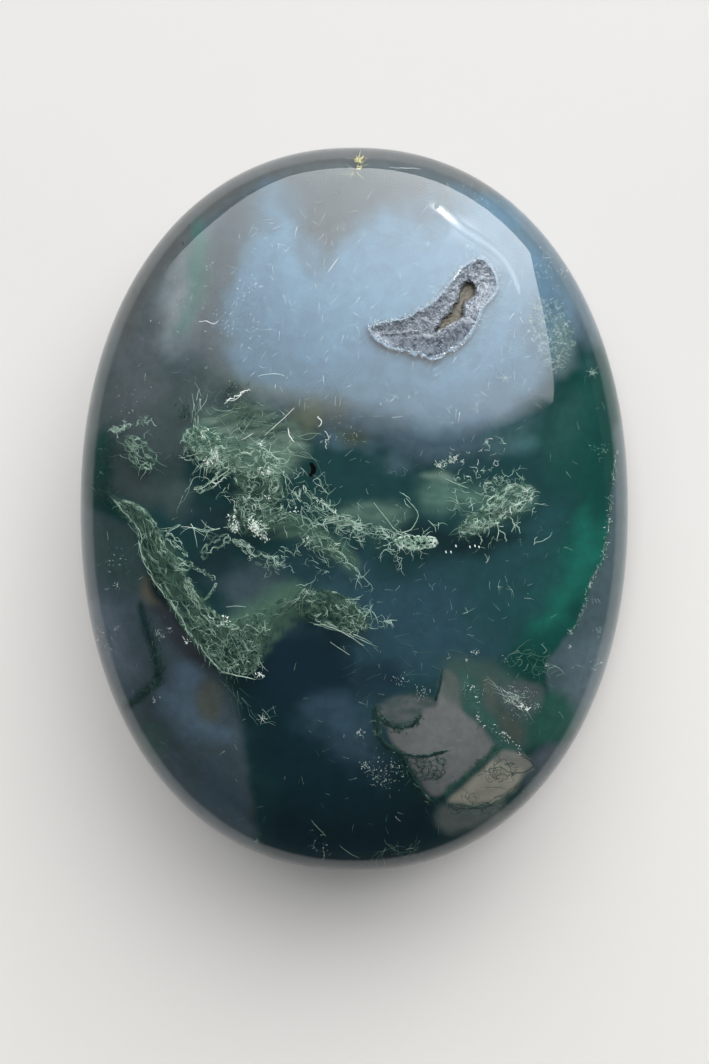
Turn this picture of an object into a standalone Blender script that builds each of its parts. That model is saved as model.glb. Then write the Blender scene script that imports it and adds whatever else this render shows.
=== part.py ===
"""A polished oval moss agate with a crystal-lined hollow in its crown.

Metres, +Z up. X runs across the stone and Y along it. The origin is the middle
of the small flat that the stone rests on. The girdle is the widest level of the
stone: the crown is the half above it and the base the half below it.
"""

import math
import random

import bpy
from mathutils import Vector
from mathutils.geometry import delaunay_2d_cdt

MM = 0.001

# Stone, whose plan and profile are both superellipses
LENGTH = 72.0 * MM
WIDTH = 54.5 * MM
CROWN_RISE = 12.5 * MM
BASE_DROP = 12.5 * MM
BASE_CURVE_DEPTH = 12.8 * MM  # the base's curve runs on to here, below the flat that cuts it
OUTLINE_POWER = 2.17
PROFILE_POWER = 2.35
STEPS_AROUND = 104
CROWN_STEPS = 13
BASE_STEPS = 11

# Hollow: its mouth in plan and its depth, in millimetres from the stone's middle
MOUTH = (
    (1.5, 17.1), (2.4, 17.7), (4.7, 18.1), (6.0, 18.8), (7.8, 19.9), (8.8, 21.0), (9.6, 22.1),
    (10.4, 23.1), (12.0, 24.1), (13.1, 23.4), (13.7, 22.1), (13.5, 20.9), (12.3, 19.6),
    (11.6, 17.9), (10.4, 16.2), (8.8, 15.0), (7.4, 14.4), (6.4, 15.0), (5.0, 15.2), (3.3, 15.6),
    (2.2, 16.4),
)
WALL_DEPTH = 0.8 * MM
FLOOR_DEPTH = 3.9 * MM
FLOOR_FALL = 1.1 * MM  # how far from the mouth's edge the floor has fallen most of the way
CUTTER_CLEAR = 2.0 * MM
MOUTH_STEPS = 2  # steps from one point of the mouth to the next
CUTTER_STEP = 0.60 * MM

# Crust: the gap to the stone, and the cleft along its middle as (x, y, half width) in millimetres
CRUST_GAP = 0.3 * MM
CLEFT = (
    (11.6, 22.3, 0.80), (10.9, 20.4, 0.80), (9.9, 19.2, 0.70), (8.8, 17.9, 0.65),
    (7.6, 17.1, 0.45), (5.6, 16.7, 0.25), (3.2, 16.4, 0.18),
)
FULL_CLEFT = 0.60 * MM  # a cleft with this half width goes down to the floor
CLEFT_EDGE = 0.60 * MM  # width over which the crust rises from the cleft to the mouth
LEAST_THICKNESS = 0.45 * MM
BELOW_POLISH = 0.03 * MM  # the polish has cut the outermost crystals almost level with the stone
SHOULDER = 0.22 * MM  # how far below the polish the crust's own level lies
CRYSTAL_SPACING = 0.60 * MM
CRYSTAL_RISE = 0.50 * MM
VALLEY_DROP = 0.26 * MM

GIRDLE = BASE_DROP


def clear_scene():
    for obj in list(bpy.data.objects):
        bpy.data.objects.remove(obj, do_unlink=True)


def material(name, colour, roughness):
    made = bpy.data.materials.new(name)
    made.use_nodes = True
    shader = made.node_tree.nodes["Principled BSDF"]
    shader.inputs["Base Color"].default_value = (*colour, 1.0)
    shader.inputs["Roughness"].default_value = roughness
    shader.inputs["Metallic"].default_value = 0.0
    return made


def add_object(name, points, faces, finish):
    mesh = bpy.data.meshes.new(name)
    mesh.from_pydata([tuple(point) for point in points], [], faces)
    mesh.validate()
    mesh.update()
    obj = bpy.data.objects.new(name, mesh)
    bpy.context.scene.collection.objects.link(obj)
    mesh.materials.append(finish)
    return obj


def superellipse(angle, power):
    """The point of a unit superellipse that lies in the direction of the angle."""
    across, along = math.cos(angle), math.sin(angle)
    reach = (abs(across) ** power + abs(along) ** power) ** (-1.0 / power)
    return across * reach, along * reach


def crown_height(x, y):
    """Height of the polished crown above the point (x, y)."""
    spread = (
        abs(2 * x / WIDTH) ** OUTLINE_POWER + abs(2 * y / LENGTH) ** OUTLINE_POWER
    ) ** (1.0 / OUTLINE_POWER)
    return GIRDLE + CROWN_RISE * (1.0 - spread**PROFILE_POWER) ** (1.0 / PROFILE_POWER)


def profile():
    """(share of the outline, height) from the first ring below the crown's top to the resting flat."""
    rings = []
    for step in range(1, CROWN_STEPS + 1):
        out, up = superellipse(math.pi / 2 * (1 - step / CROWN_STEPS), PROFILE_POWER)
        rings.append((out, GIRDLE + CROWN_RISE * up))
    flat = (1.0 - (BASE_DROP / BASE_CURVE_DEPTH) ** PROFILE_POWER) ** (1.0 / PROFILE_POWER)
    last = math.atan2(BASE_DROP / BASE_CURVE_DEPTH, flat)
    for step in range(1, BASE_STEPS):
        out, down = superellipse(last * step / BASE_STEPS, PROFILE_POWER)
        rings.append((out, GIRDLE - BASE_CURVE_DEPTH * down))
    rings.append((flat, 0.0))
    return rings


def stone_shape():
    """Points and faces of the whole stone, before the hollow is cut."""
    points = [(0.0, 0.0, GIRDLE + CROWN_RISE)]
    rings = profile()
    for share, height in rings:
        for step in range(STEPS_AROUND):
            across, along = superellipse(math.tau * step / STEPS_AROUND, OUTLINE_POWER)
            points.append((share * across * WIDTH / 2, share * along * LENGTH / 2, height))
    faces = []
    for step in range(STEPS_AROUND):
        after = (step + 1) % STEPS_AROUND
        faces.append((0, 1 + step, 1 + after))
        for ring in range(len(rings) - 1):
            upper, lower = 1 + ring * STEPS_AROUND, 1 + (ring + 1) * STEPS_AROUND
            faces.append((upper + step, lower + step, lower + after, upper + after))
    last_ring = 1 + (len(rings) - 1) * STEPS_AROUND
    faces.append(tuple(last_ring + step for step in reversed(range(STEPS_AROUND))))
    return points, faces


def smoothed(outline, steps):
    """A smooth closed curve through the points of the outline."""
    found = []
    count = len(outline)
    for index in range(count):
        a, b, c, d = (outline[(index + offset) % count] for offset in (-1, 0, 1, 2))
        for step in range(steps):
            t = step / steps
            across = (c - a) * t + (2 * a - 5 * b + 4 * c - d) * t**2 + (3 * b - a - 3 * c + d) * t**3
            found.append(b + across / 2)
    return found


def divided(outline, spacing):
    """The closed outline with its sides divided so that no step is longer than the spacing."""
    found = []
    for start, end in zip(outline, outline[1:] + outline[:1]):
        steps = max(1, math.ceil((end - start).length / spacing))
        found.extend(start.lerp(end, step / steps) for step in range(steps))
    return found


def inset(outline, distance):
    """The outline, which runs clockwise, moved inwards by the distance."""
    moved = []
    for before, point, after in zip(outline[-1:] + outline[:-1], outline, outline[1:] + outline[:1]):
        arriving, leaving = (point - before).normalized(), (after - point).normalized()
        inward = Vector((arriving.y, -arriving.x)) + Vector((leaving.y, -leaving.x))
        inward.normalize()
        sharpness = max(0.5, inward.dot(Vector((leaving.y, -leaving.x))))
        moved.append(point + inward * (distance / sharpness))
    return moved


def distance_to_side(point, start, end):
    """Distance to a straight side, and the share of the way along it."""
    side = end - start
    share = min(1.0, max(0.0, (point - start).dot(side) / side.length_squared))
    return (start + side * share - point).length, share


def distance_to_outline(point, outline):
    sides = zip(outline, outline[1:] + outline[:1])
    return min(distance_to_side(point, start, end)[0] for start, end in sides)


def is_inside(point, outline):
    inside = False
    for start, end in zip(outline, outline[1:] + outline[:1]):
        if (start.y > point.y) != (end.y > point.y):
            crossing = start.x + (point.y - start.y) * (end.x - start.x) / (end.y - start.y)
            if crossing > point.x:
                inside = not inside
    return inside


def scattered(outline, spacing, seed):
    """Random points inside the outline, none nearer to another or to the outline than the spacing."""
    draw = random.Random(seed)
    low = Vector((min(p.x for p in outline), min(p.y for p in outline)))
    high = Vector((max(p.x for p in outline), max(p.y for p in outline)))
    found = []
    for _ in range(6000):
        point = Vector((draw.uniform(low.x, high.x), draw.uniform(low.y, high.y)))
        if not is_inside(point, outline) or distance_to_outline(point, outline) < 0.7 * spacing:
            continue
        if all((point - other).length >= spacing for other in found):
            found.append(point)
    return found


def triangles_over(outline, inner):
    """Points and triangles that fill the outline and use the inner points as corners."""
    corners = [point / MM for point in outline + inner]
    count = len(outline)
    sides = [(index, (index + 1) % count) for index in range(count)]
    points, _, faces, *_ = delaunay_2d_cdt(corners, sides, [], 1, 1e-5)
    return [Vector(point) * MM for point in points], [tuple(face) for face in faces]


def rim_edges(faces):
    """The directed edges that only one face uses."""
    used = {(a, b) for face in faces for a, b in zip(face, face[1:] + face[:1])}
    return [(a, b) for a, b in used if (b, a) not in used]


def slab(points, faces, tops, bottoms):
    """A closed shape between two heights over each point of a flat net of triangles."""
    count = len(points)
    corners = [(p.x, p.y, top) for p, top in zip(points, tops)]
    corners += [(p.x, p.y, bottom) for p, bottom in zip(points, bottoms)]
    sides = list(faces)
    sides += [tuple(count + corner for corner in reversed(face)) for face in faces]
    for a, b in sorted(rim_edges(faces)):
        sides += [(b, a, count + a), (b, count + a, count + b)]
    return corners, sides


def floor_height(point, mouth):
    """Height of the hollow's floor: a short steep wall at the mouth, then a slope to the bottom."""
    fallen = 1.0 - math.exp(-distance_to_outline(point, mouth) / FLOOR_FALL)
    depth = WALL_DEPTH + (FLOOR_DEPTH - WALL_DEPTH) * fallen
    return crown_height(*point) - depth


def hollow_cutter(mouth, finish):
    rim = divided(mouth, CUTTER_STEP)
    points, faces = triangles_over(rim, scattered(mouth, CUTTER_STEP, 3))
    tops = [crown_height(*point) + CUTTER_CLEAR for point in points]
    bottoms = [floor_height(point, mouth) for point in points]
    cutter = add_object("hollow_cutter", *slab(points, faces, tops, bottoms), finish)
    cutter.hide_render = True
    cutter.display_type = "WIRE"
    return cutter


def cleft_opening(point):
    """1 in the middle of the cleft, falling to 0 where the crust reaches the mouth's level."""
    opening = 0.0
    for (x0, y0, w0), (x1, y1, w1) in zip(CLEFT, CLEFT[1:]):
        distance, share = distance_to_side(point, Vector((x0, y0)) * MM, Vector((x1, y1)) * MM)
        half_width = (w0 + (w1 - w0) * share) * MM
        rise = min(1.0, max(0.0, (distance - half_width) / CLEFT_EDGE))
        depth = min(1.0, half_width / FULL_CLEFT)
        opening = max(opening, depth * (1.0 - rise * rise * (3 - 2 * rise)))
    return opening


def crystal_net(points, faces):
    """Turns a net of triangles into crystal points: a valley in each triangle, a tip at each corner."""
    valleys = [sum((points[corner] for corner in face), Vector((0.0, 0.0))) / 3 for face in faces]
    owner = {}
    for index, face in enumerate(faces):
        for a, b in zip(face, face[1:] + face[:1]):
            owner[(a, b)] = index
    count = len(points)
    net = []
    for (a, b), index in owner.items():
        if (b, a) in owner:
            net.append((a, count + owner[(b, a)], count + index))
        else:
            net.append((a, b, count + index))
    return points + valleys, net


def druse_crust(mouth, finish):
    outline = inset(mouth, CRUST_GAP)
    rim = divided(outline, CRYSTAL_SPACING)
    points, faces = triangles_over(rim, scattered(outline, CRYSTAL_SPACING, 11))
    tips = len(points)
    points, net = crystal_net(points, faces)
    draw = random.Random(5)
    tops, bottoms = [], []
    for index, point in enumerate(points):
        bottom = floor_height(point, mouth) + CRUST_GAP
        polish = crown_height(*point) - BELOW_POLISH
        level = polish - SHOULDER
        opening = cleft_opening(point)
        body = level + (bottom + LEAST_THICKNESS - level) * opening
        if index < tips:
            top = body + CRYSTAL_RISE * draw.uniform(0.2, 1.0)
        else:
            top = body - VALLEY_DROP * draw.uniform(0.5, 1.0)
        tops.append(min(polish, top))
        bottoms.append(bottom)
    return add_object("druse_crust", *slab(points, net, tops, bottoms), finish)


def moss_agate(mouth, finish):
    stone = add_object("moss_agate", *stone_shape(), finish)
    hollow = stone.modifiers.new("hollow", "BOOLEAN")
    hollow.operation = "DIFFERENCE"
    hollow.solver = "EXACT"
    hollow.object = hollow_cutter(mouth, finish)
    stone.data.shade_smooth()
    stone.data.set_sharp_from_angle(angle=math.radians(30))
    return stone


def build():
    clear_scene()
    polish = material("polished_chalcedony", (0.045, 0.085, 0.090), 0.06)
    quartz = material("quartz_druse", (0.52, 0.55, 0.58), 0.30)
    mouth = smoothed([Vector(point) * MM for point in MOUTH], MOUTH_STEPS)
    moss_agate(mouth, polish)
    druse_crust(mouth, quartz)


build()
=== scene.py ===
"""The looks of a polished oval moss agate, lying on a pale floor under a soft evening sky.

The stone is clear at its polished skin and clouded below it, so it is made the way it looks: a clear skin,
the cloud of colour under it, and moss, needles and specks that float at their own depths between the two.
Lengths here are in millimetres until a mesh is made. Places are pixels of the 709 by 1064 photograph where
they say so, and inside() turns such a pixel and a depth into a place in the stone, allowing for the bend
that the light takes at the skin.
"""

import math

import bpy
import numpy as np
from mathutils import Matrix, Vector
from mathutils.geometry import delaunay_2d_cdt


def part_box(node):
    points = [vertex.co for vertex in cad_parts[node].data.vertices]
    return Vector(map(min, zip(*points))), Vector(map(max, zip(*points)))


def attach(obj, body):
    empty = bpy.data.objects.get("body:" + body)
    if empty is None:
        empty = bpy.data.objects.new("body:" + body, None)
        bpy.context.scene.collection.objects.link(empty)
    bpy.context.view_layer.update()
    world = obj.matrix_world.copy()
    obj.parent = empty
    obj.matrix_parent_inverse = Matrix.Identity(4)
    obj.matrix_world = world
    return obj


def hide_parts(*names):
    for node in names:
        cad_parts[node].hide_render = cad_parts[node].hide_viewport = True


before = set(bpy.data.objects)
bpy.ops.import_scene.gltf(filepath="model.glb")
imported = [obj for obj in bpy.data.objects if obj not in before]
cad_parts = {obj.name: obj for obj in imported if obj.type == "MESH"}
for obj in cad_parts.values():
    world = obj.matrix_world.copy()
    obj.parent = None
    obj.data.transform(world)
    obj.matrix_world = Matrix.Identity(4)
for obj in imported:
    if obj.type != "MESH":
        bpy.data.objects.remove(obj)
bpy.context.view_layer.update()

MM = 0.001

# The stone's superellipse, as in its solid
OUTLINE_POWER = 2.17
PROFILE_POWER = 2.35
BASE_RUN_ON = 0.3  # how far the base's curve would run on below the resting flat
LOW, HIGH = (np.array(corner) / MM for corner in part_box("moss_agate"))
HALF_WIDTH, HALF_LENGTH = (HIGH - LOW)[:2] / 2
GIRDLE = HIGH[2] / 2
CROWN_RISE = HIGH[2] - GIRDLE
BASE_DEPTH = GIRDLE + BASE_RUN_ON

# The photograph, and the camera straight above the stone
PHOTO_WIDE, PHOTO_TALL = 709, 1064
STONE_PX = (354.3, 509.5)
STONE_TALL_PX = 722.0
CAMERA_ABOVE_GIRDLE = 280.0
SENSOR = 36.0
PIXEL = 2 * HALF_LENGTH / STONE_TALL_PX
LENS = SENSOR * CAMERA_ABOVE_GIRDLE / (PHOTO_TALL * PIXEL)
CAMERA = np.array((
    (PHOTO_WIDE / 2 - STONE_PX[0]) * PIXEL,
    (STONE_PX[1] - PHOTO_TALL / 2) * PIXEL,
    GIRDLE + CAMERA_ABOVE_GIRDLE,
))
QUARTZ_IOR = 1.54
HALVINGS = 36  # how often a line is halved to find where it meets the skin


class Tone:
    """A socket of a finish, which can be used in sums and products like a number."""

    def __init__(self, finish, socket):
        self.finish = finish
        self.socket = socket

    def __add__(self, other):
        return self.finish.math("ADD", self, other)

    def __sub__(self, other):
        return self.finish.math("SUBTRACT", self, other)

    def __rsub__(self, other):
        return self.finish.math("SUBTRACT", other, self)

    def __mul__(self, other):
        return self.finish.math("MULTIPLY", self, other)

    __radd__ = __add__
    __rmul__ = __mul__


class Finish:
    """One material, built up from nodes."""

    def __init__(self, name):
        self.material = bpy.data.materials.new(name)
        self.material.use_nodes = True
        self.tree = self.material.node_tree
        self.tree.nodes.clear()

    def node(self, kind, settings=None, sockets=None, result=0):
        """Adds a node: its settings, then the values or links of its sockets. Gives one of its results."""
        made = self.tree.nodes.new(kind)
        for name, value in (settings or {}).items():
            setattr(made, name, value)
        for key, value in (sockets or {}).items():
            if isinstance(value, Tone):
                self.tree.links.new(value.socket, made.inputs[key])
            else:
                made.inputs[key].default_value = value
        return Tone(self, made.outputs[result]) if made.outputs else None

    def math(self, operation, *values):
        return self.node("ShaderNodeMath", {"operation": operation}, dict(enumerate(values)))

    def place(self):
        """Where a point lies in the stone, in millimetres."""
        where = self.node("ShaderNodeTexCoord", result="Object")
        return self.node("ShaderNodeVectorMath", {"operation": "SCALE"}, {0: where, "Scale": 1 / MM})

    def vector(self, operation, first, second=(0, 0, 0), result=0):
        return self.node("ShaderNodeVectorMath", {"operation": operation}, {0: first, 1: second}, result)

    def noise(self, per_mm, detail, roughness, distortion=0.0):
        """Noise from 0 to 1 with that many features to the millimetre."""
        sockets = {"Vector": self.place(), "Scale": per_mm, "Detail": detail}
        sockets.update({"Roughness": roughness, "Distortion": distortion})
        return self.node("ShaderNodeTexNoise", {}, sockets)

    def attribute(self, name):
        """A number kept on the mesh."""
        return self.node("ShaderNodeAttribute", {"attribute_name": name}, result="Fac")

    def between(self, value, start, end):
        """0 where the value is at the start, 1 at the end, smooth between them."""
        sockets = {"Value": value, "From Min": start, "From Max": end}
        return self.node("ShaderNodeMapRange", {"interpolation_type": "SMOOTHSTEP"}, sockets)

    def mix(self, share, first, second):
        """The colour that lies that share of the way from the first to the second."""
        sockets = {0: share, 6: colour(first), 7: colour(second)}
        return self.node("ShaderNodeMix", {"data_type": "RGBA"}, sockets, result=2)

    def surface(self, volume=None, **sockets):
        """Ends the finish with a Principled surface. Underscores in the names stand for spaces."""
        named = {name.replace("_", " "): value for name, value in sockets.items()}
        ends = {"Surface": self.node("ShaderNodeBsdfPrincipled", {}, named)}
        if volume:
            ends["Volume"] = volume
        self.node("ShaderNodeOutputMaterial", {}, ends)
        return self.material


def colour(value):
    return value if isinstance(value, Tone) else (*value, 1.0)


# Shape of the stone


def unit(vectors):
    return vectors / np.linalg.norm(vectors, axis=-1, keepdims=True)


def superellipse(angle, power):
    across, along = np.cos(angle), np.sin(angle)
    reach = (np.abs(across) ** power + np.abs(along) ** power) ** (-1.0 / power)
    return across * reach, along * reach


def flat_share(x, y):
    """1 on the stone's outline and less within it, raised to the profile's power."""
    flat = np.abs(x / HALF_WIDTH) ** OUTLINE_POWER + np.abs(y / HALF_LENGTH) ** OUTLINE_POWER
    return flat ** (PROFILE_POWER / OUTLINE_POWER)


def level(points):
    """1 on the polished skin, less inside it."""
    x, y, z = np.moveaxis(points, -1, 0)
    rise = np.where(z > GIRDLE, CROWN_RISE, BASE_DEPTH)
    up = np.abs((z - GIRDLE) / rise) ** PROFILE_POWER
    return (flat_share(x, y) + up) ** (1.0 / PROFILE_POWER)


def outward(points):
    """The direction straight out of the stone at each point."""
    step = 1e-3
    slopes = [level(points + step * axis) - level(points - step * axis) for axis in np.eye(3)]
    return unit(np.stack(slopes, axis=-1))


def along_to_skin(start, heading, reach):
    """Where a line that ends inside the stone crosses the skin, found by halving."""
    near, far = np.zeros(len(start)), np.full(len(start), float(reach))
    for _ in range(HALVINGS):
        middle = (near + far) / 2
        inner = level(start + heading * middle[:, None]) < 1.0
        near, far = np.where(inner, near, middle), np.where(inner, middle, far)
    return start + heading * far[:, None]


def crown_height(x, y):
    share = np.clip(1.0 - flat_share(x, y), 0, 1)
    return GIRDLE + CROWN_RISE * share ** (1 / PROFILE_POWER)


# Between the photograph's pixels and the stone


def seen_by_camera(points):
    """The pixels at which the camera sees these places, with nothing in between."""
    away = CAMERA[2] - points[:, 2]
    scale = CAMERA_ABOVE_GIRDLE / PIXEL / away
    right = PHOTO_WIDE / 2 + (points[:, 0] - CAMERA[0]) * scale
    down = PHOTO_TALL / 2 - (points[:, 1] - CAMERA[1]) * scale
    return np.stack((right, down), axis=-1)


def on_skin(pixels):
    """Where the sight line of each pixel meets the crown, and the direction of that line."""
    pixels = np.atleast_2d(np.array(pixels, float))
    at_girdle = np.zeros((len(pixels), 3))
    at_girdle[:, 0] = CAMERA[0] + (pixels[:, 0] - PHOTO_WIDE / 2) * PIXEL
    at_girdle[:, 1] = CAMERA[1] - (pixels[:, 1] - PHOTO_TALL / 2) * PIXEL
    at_girdle[:, 2] = GIRDLE
    over = np.maximum(1.0, level(at_girdle) * 1.002)
    at_girdle[:, :2] /= over[:, None]
    sight = unit(at_girdle - CAMERA)
    begin = at_girdle - sight * (1.05 * CROWN_RISE / np.abs(sight[:, 2:]))
    return along_to_skin(begin, sight, 1.06 * CROWN_RISE / np.abs(sight[:, 2]).min()), sight


def bent(sight, out):
    """The direction of the sight line once it is in the stone."""
    facing = np.clip(-(sight * out).sum(axis=1), 0.02, 1.0)[:, None]
    ratio = 1.0 / QUARTZ_IOR
    inner = np.sqrt(1.0 - ratio**2 * (1.0 - facing**2))
    return unit(ratio * sight + (ratio * facing - inner) * out)


def inside(pixels, depth):
    """The places seen at these pixels, that far into the stone along the bent line of sight."""
    skin, sight = on_skin(pixels)
    return skin + bent(sight, outward(skin)) * np.reshape(depth, (-1, 1))


def seen_in_stone(points):
    """The pixels at which the camera sees these places through the polished skin."""
    heading = np.tile((0.0, 0.0, -1.0), (len(points), 1))
    above = 40.0  # further than any place lies below the skin
    for _ in range(7):
        skin = along_to_skin(points - heading * above, heading, above)
        heading = bent(unit(skin - CAMERA), outward(skin))
    return seen_by_camera(skin)


# Meshes


def add_mesh(name, points, faces, finish, smooth=True):
    """Adds a mesh whose points are in millimetres."""
    mesh = bpy.data.meshes.new(name)
    mesh.from_pydata((np.asarray(points) * MM).tolist(), [], faces)
    mesh.materials.append(finish)
    mesh.polygons.foreach_set("use_smooth", [smooth] * len(mesh.polygons))
    mesh.update()
    piece = bpy.data.objects.new(name, mesh)
    bpy.context.scene.collection.objects.link(piece)
    return piece


def read_all(items, name, width=1, kind=float):
    """One value, or a row of that many, for each point, corner or face."""
    found = np.empty(len(items) * width, kind)
    items.foreach_get(name, found)
    return found.reshape(-1, width) if width > 1 else found


def points_of(piece):
    return read_all(piece.data.vertices, "co", 3) / MM


def keep_number(piece, name, values):
    """Keeps one number for each point on the mesh, for the finish to read."""
    kept = piece.data.attributes.new(name, "FLOAT", "POINT")
    kept.data.foreach_set("value", np.asarray(values, np.float32))


def stone_net(columns, upper, lower):
    """Angles round and up for each point of a net over the whole stone, and its faces.

    It has that many rows of faces above the girdle and below it.
    """
    rows = upper + lower
    rises = np.append(np.arange(upper, 0, -1) / upper, -np.arange(0, lower) / lower)[1:]
    turn = np.tile(math.tau * np.arange(columns) / columns, rows - 1)
    rise = np.repeat(math.pi / 2 * rises, columns)
    turn, rise = np.append(turn, (0, 0)), np.append(rise, (math.pi / 2, -math.pi / 2))
    top, bottom = len(turn) - 2, len(turn) - 1
    faces = []
    for column in range(columns):
        after = (column + 1) % columns
        faces.append((top, column, after))
        for row in range(rows - 2):
            upper, lower = row * columns, (row + 1) * columns
            faces.append((upper + column, lower + column, lower + after, upper + after))
        last = (rows - 2) * columns
        faces.append((last + column, bottom, last + after))
    return turn, rise, faces


def skin_points(turn, rise):
    across, along = superellipse(turn, OUTLINE_POWER)
    out, up = superellipse(rise, PROFILE_POWER)
    height = np.where(up > 0, CROWN_RISE, BASE_DEPTH) * up
    found = np.stack((out * across * HALF_WIDTH, out * along * HALF_LENGTH, GIRDLE + height), axis=-1)
    found[:, 2] = np.maximum(found[:, 2], 0.0)
    return found


def smoothstep(values, start, end):
    share = np.clip((values - start) / (end - start), 0, 1)
    return share * share * (3 - 2 * share)


def distance_to_line(places, line):
    """Distance from each place to the nearest point of a line of straight stretches."""
    nearest = np.full(len(places), np.inf)
    for start, end in zip(line[:-1], line[1:]):
        side = end - start
        share = np.clip((places - start) @ side / (side @ side), 0, 1)
        nearest = np.minimum(nearest, np.linalg.norm(places - start - share[:, None] * side, axis=1))
    return nearest


def distance_to_patch(places, outline):
    """Distance to a closed outline, negative inside it."""
    closed = np.vstack((outline, outline[:1]))
    within = np.zeros(len(places), bool)
    for (x0, y0), (x1, y1) in zip(closed[:-1], closed[1:]):
        if y0 == y1:
            continue
        crosses = (y0 > places[:, 1]) != (y1 > places[:, 1])
        within ^= crosses & (places[:, 0] < x0 + (places[:, 1] - y0) * (x1 - x0) / (y1 - y0))
    return distance_to_line(places, closed) * np.where(within, -1.0, 1.0)


def smoothed(outline, steps, closed=True):
    """A smooth line through the points."""
    outline = np.array(outline, float)
    count = len(outline)
    found = []
    for index in range(count if closed else count - 1):
        if closed:
            a, b, c, d = (outline[(index + offset) % count] for offset in (-1, 0, 1, 2))
        else:
            a, b, c, d = (outline[min(max(index + offset, 0), count - 1)] for offset in (-1, 0, 1, 2))
        for step in range(steps):
            t = step / steps
            bend = (c - a) * t + (2 * a - 5 * b + 4 * c - d) * t**2 + (3 * b - a - 3 * c + d) * t**3
            found.append(b + bend / 2)
    if not closed:
        found.append(outline[-1])
    return np.array(found)


TRIES_PER_CELL = 14  # places tried for each cell of a net


def filled(outline, spacing, seed, edge_share=0.7):
    """Points and triangles that fill a closed outline, with inner points about that far apart."""
    rim = []
    for start, end in zip(outline, np.roll(outline, -1, axis=0)):
        steps = max(1, math.ceil(np.linalg.norm(end - start) / spacing))
        rim += [start + (end - start) * step / steps for step in range(steps)]
    rim = np.array(rim)
    draw = np.random.default_rng(seed)
    low, high = rim.min(axis=0), rim.max(axis=0)
    tries = draw.uniform(low, high, (int(TRIES_PER_CELL * np.prod((high - low) / spacing)), 2))
    tries = tries[distance_to_patch(tries, rim) < -edge_share * spacing]
    chosen = np.empty((0, 2))
    for point in tries:
        if not len(chosen) or np.linalg.norm(chosen - point, axis=1).min() >= spacing:
            chosen = np.vstack((chosen, point))
    count = len(rim)
    sides = [(index, (index + 1) % count) for index in range(count)]
    corners = [Vector(point) for point in np.vstack((rim, chosen)).tolist()]
    points, _, faces, *_ = delaunay_2d_cdt(corners, sides, [], 1, 1e-5)
    return np.array([tuple(point) for point in points]), [tuple(face) for face in faces]


def rim_edges(faces):
    """The directed edges that only one face uses."""
    used = {(a, b) for face in faces for a, b in zip(face, face[1:] + face[:1])}
    return sorted((a, b) for a, b in used if (b, a) not in used)


def slab(plan, faces, tops, bottoms):
    """A closed shape between two heights over each point of a flat net."""
    count = len(plan)
    corners = np.vstack((np.column_stack((plan, tops)), np.column_stack((plan, bottoms))))
    sides = list(faces)
    sides += [tuple(count + corner for corner in reversed(face)) for face in faces]
    for a, b in rim_edges(faces):
        sides += [(b, a, count + a), (b, count + a, count + b)]
    return corners, sides


# The hollow, whose mouth and depth are those of the solid

MOUTH = (
    (1.5, 17.1), (2.4, 17.7), (4.7, 18.1), (6.0, 18.8), (7.8, 19.9), (8.8, 21.0), (9.6, 22.1),
    (10.4, 23.1), (12.0, 24.1), (13.1, 23.4), (13.7, 22.1), (13.5, 20.9), (12.3, 19.6),
    (11.6, 17.9), (10.4, 16.2), (8.8, 15.0), (7.4, 14.4), (6.4, 15.0), (5.0, 15.2), (3.3, 15.6),
    (2.2, 16.4),
)
WALL_DEPTH = 0.8
FLOOR_DEPTH = 3.9
FLOOR_FALL = 1.1  # how fast the floor falls away from the wall
HOLLOW_NET = 0.45  # spacing of the net that cuts it


def floor_depth(plan, mouth):
    fallen = 1.0 - np.exp(np.minimum(0.0, distance_to_patch(plan, mouth)) / FLOOR_FALL)
    return WALL_DEPTH + (FLOOR_DEPTH - WALL_DEPTH) * fallen


def cut_hollow(piece, mouth, deeper=0.0):
    """Cuts the hollow out of a piece, a little deeper than the stone's own if asked."""
    plan, faces = filled(mouth, HOLLOW_NET, seed=3)
    skin = crown_height(*plan.T)
    bottoms = skin - floor_depth(plan, mouth) - deeper
    cutter = add_mesh("hollow_cutter", *slab(plan, faces, skin + 2.0, bottoms), None)
    cut = piece.modifiers.new("hollow", "BOOLEAN")
    cut.operation = "DIFFERENCE"
    cut.solver = "EXACT"
    cut.object = cutter
    apply_modifiers(piece)
    bpy.data.objects.remove(cutter)


def apply_modifiers(piece):
    graph = bpy.context.evaluated_depsgraph_get()
    made = bpy.data.meshes.new_from_object(piece.evaluated_get(graph))
    piece.modifiers.clear()
    piece.data = made


def spread_out(outline, distance):
    """A closed outline that runs clockwise, moved outwards."""
    arriving = outline - np.roll(outline, 1, axis=0)
    leaving = np.roll(outline, -1, axis=0) - outline
    way = unit(arriving) + unit(leaving)
    out = np.column_stack((-way[:, 1], way[:, 0]))
    return outline + distance * out / np.linalg.norm(out, axis=1)[:, None]


# The polished skin

SKIN_NET = (380, 95, 95)  # columns, rows above the girdle and rows below it
SMOKY = (0.58, 0.64, 0.63, 1.0)
SMOKINESS = 130.0  # per metre


def polished_finish():
    finish = Finish("polished_skin")
    smoky = finish.node("ShaderNodeVolumeAbsorption", {}, {"Color": SMOKY, "Density": SMOKINESS})
    return finish.surface(
        volume=smoky,
        Base_Color=(1.0, 1.0, 1.0, 1.0),
        Roughness=0.015,
        IOR=QUARTZ_IOR,
        Transmission_Weight=1.0,
    )


def polished_skin(mouth):
    turn, rise, faces = stone_net(*SKIN_NET)
    piece = add_mesh("polished_skin", skin_points(turn, rise), faces, polished_finish())
    cut_hollow(piece, mouth)
    smooth_polish(piece)
    piece.visible_shadow = False
    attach(piece, "root")
    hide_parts("moss_agate")


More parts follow.
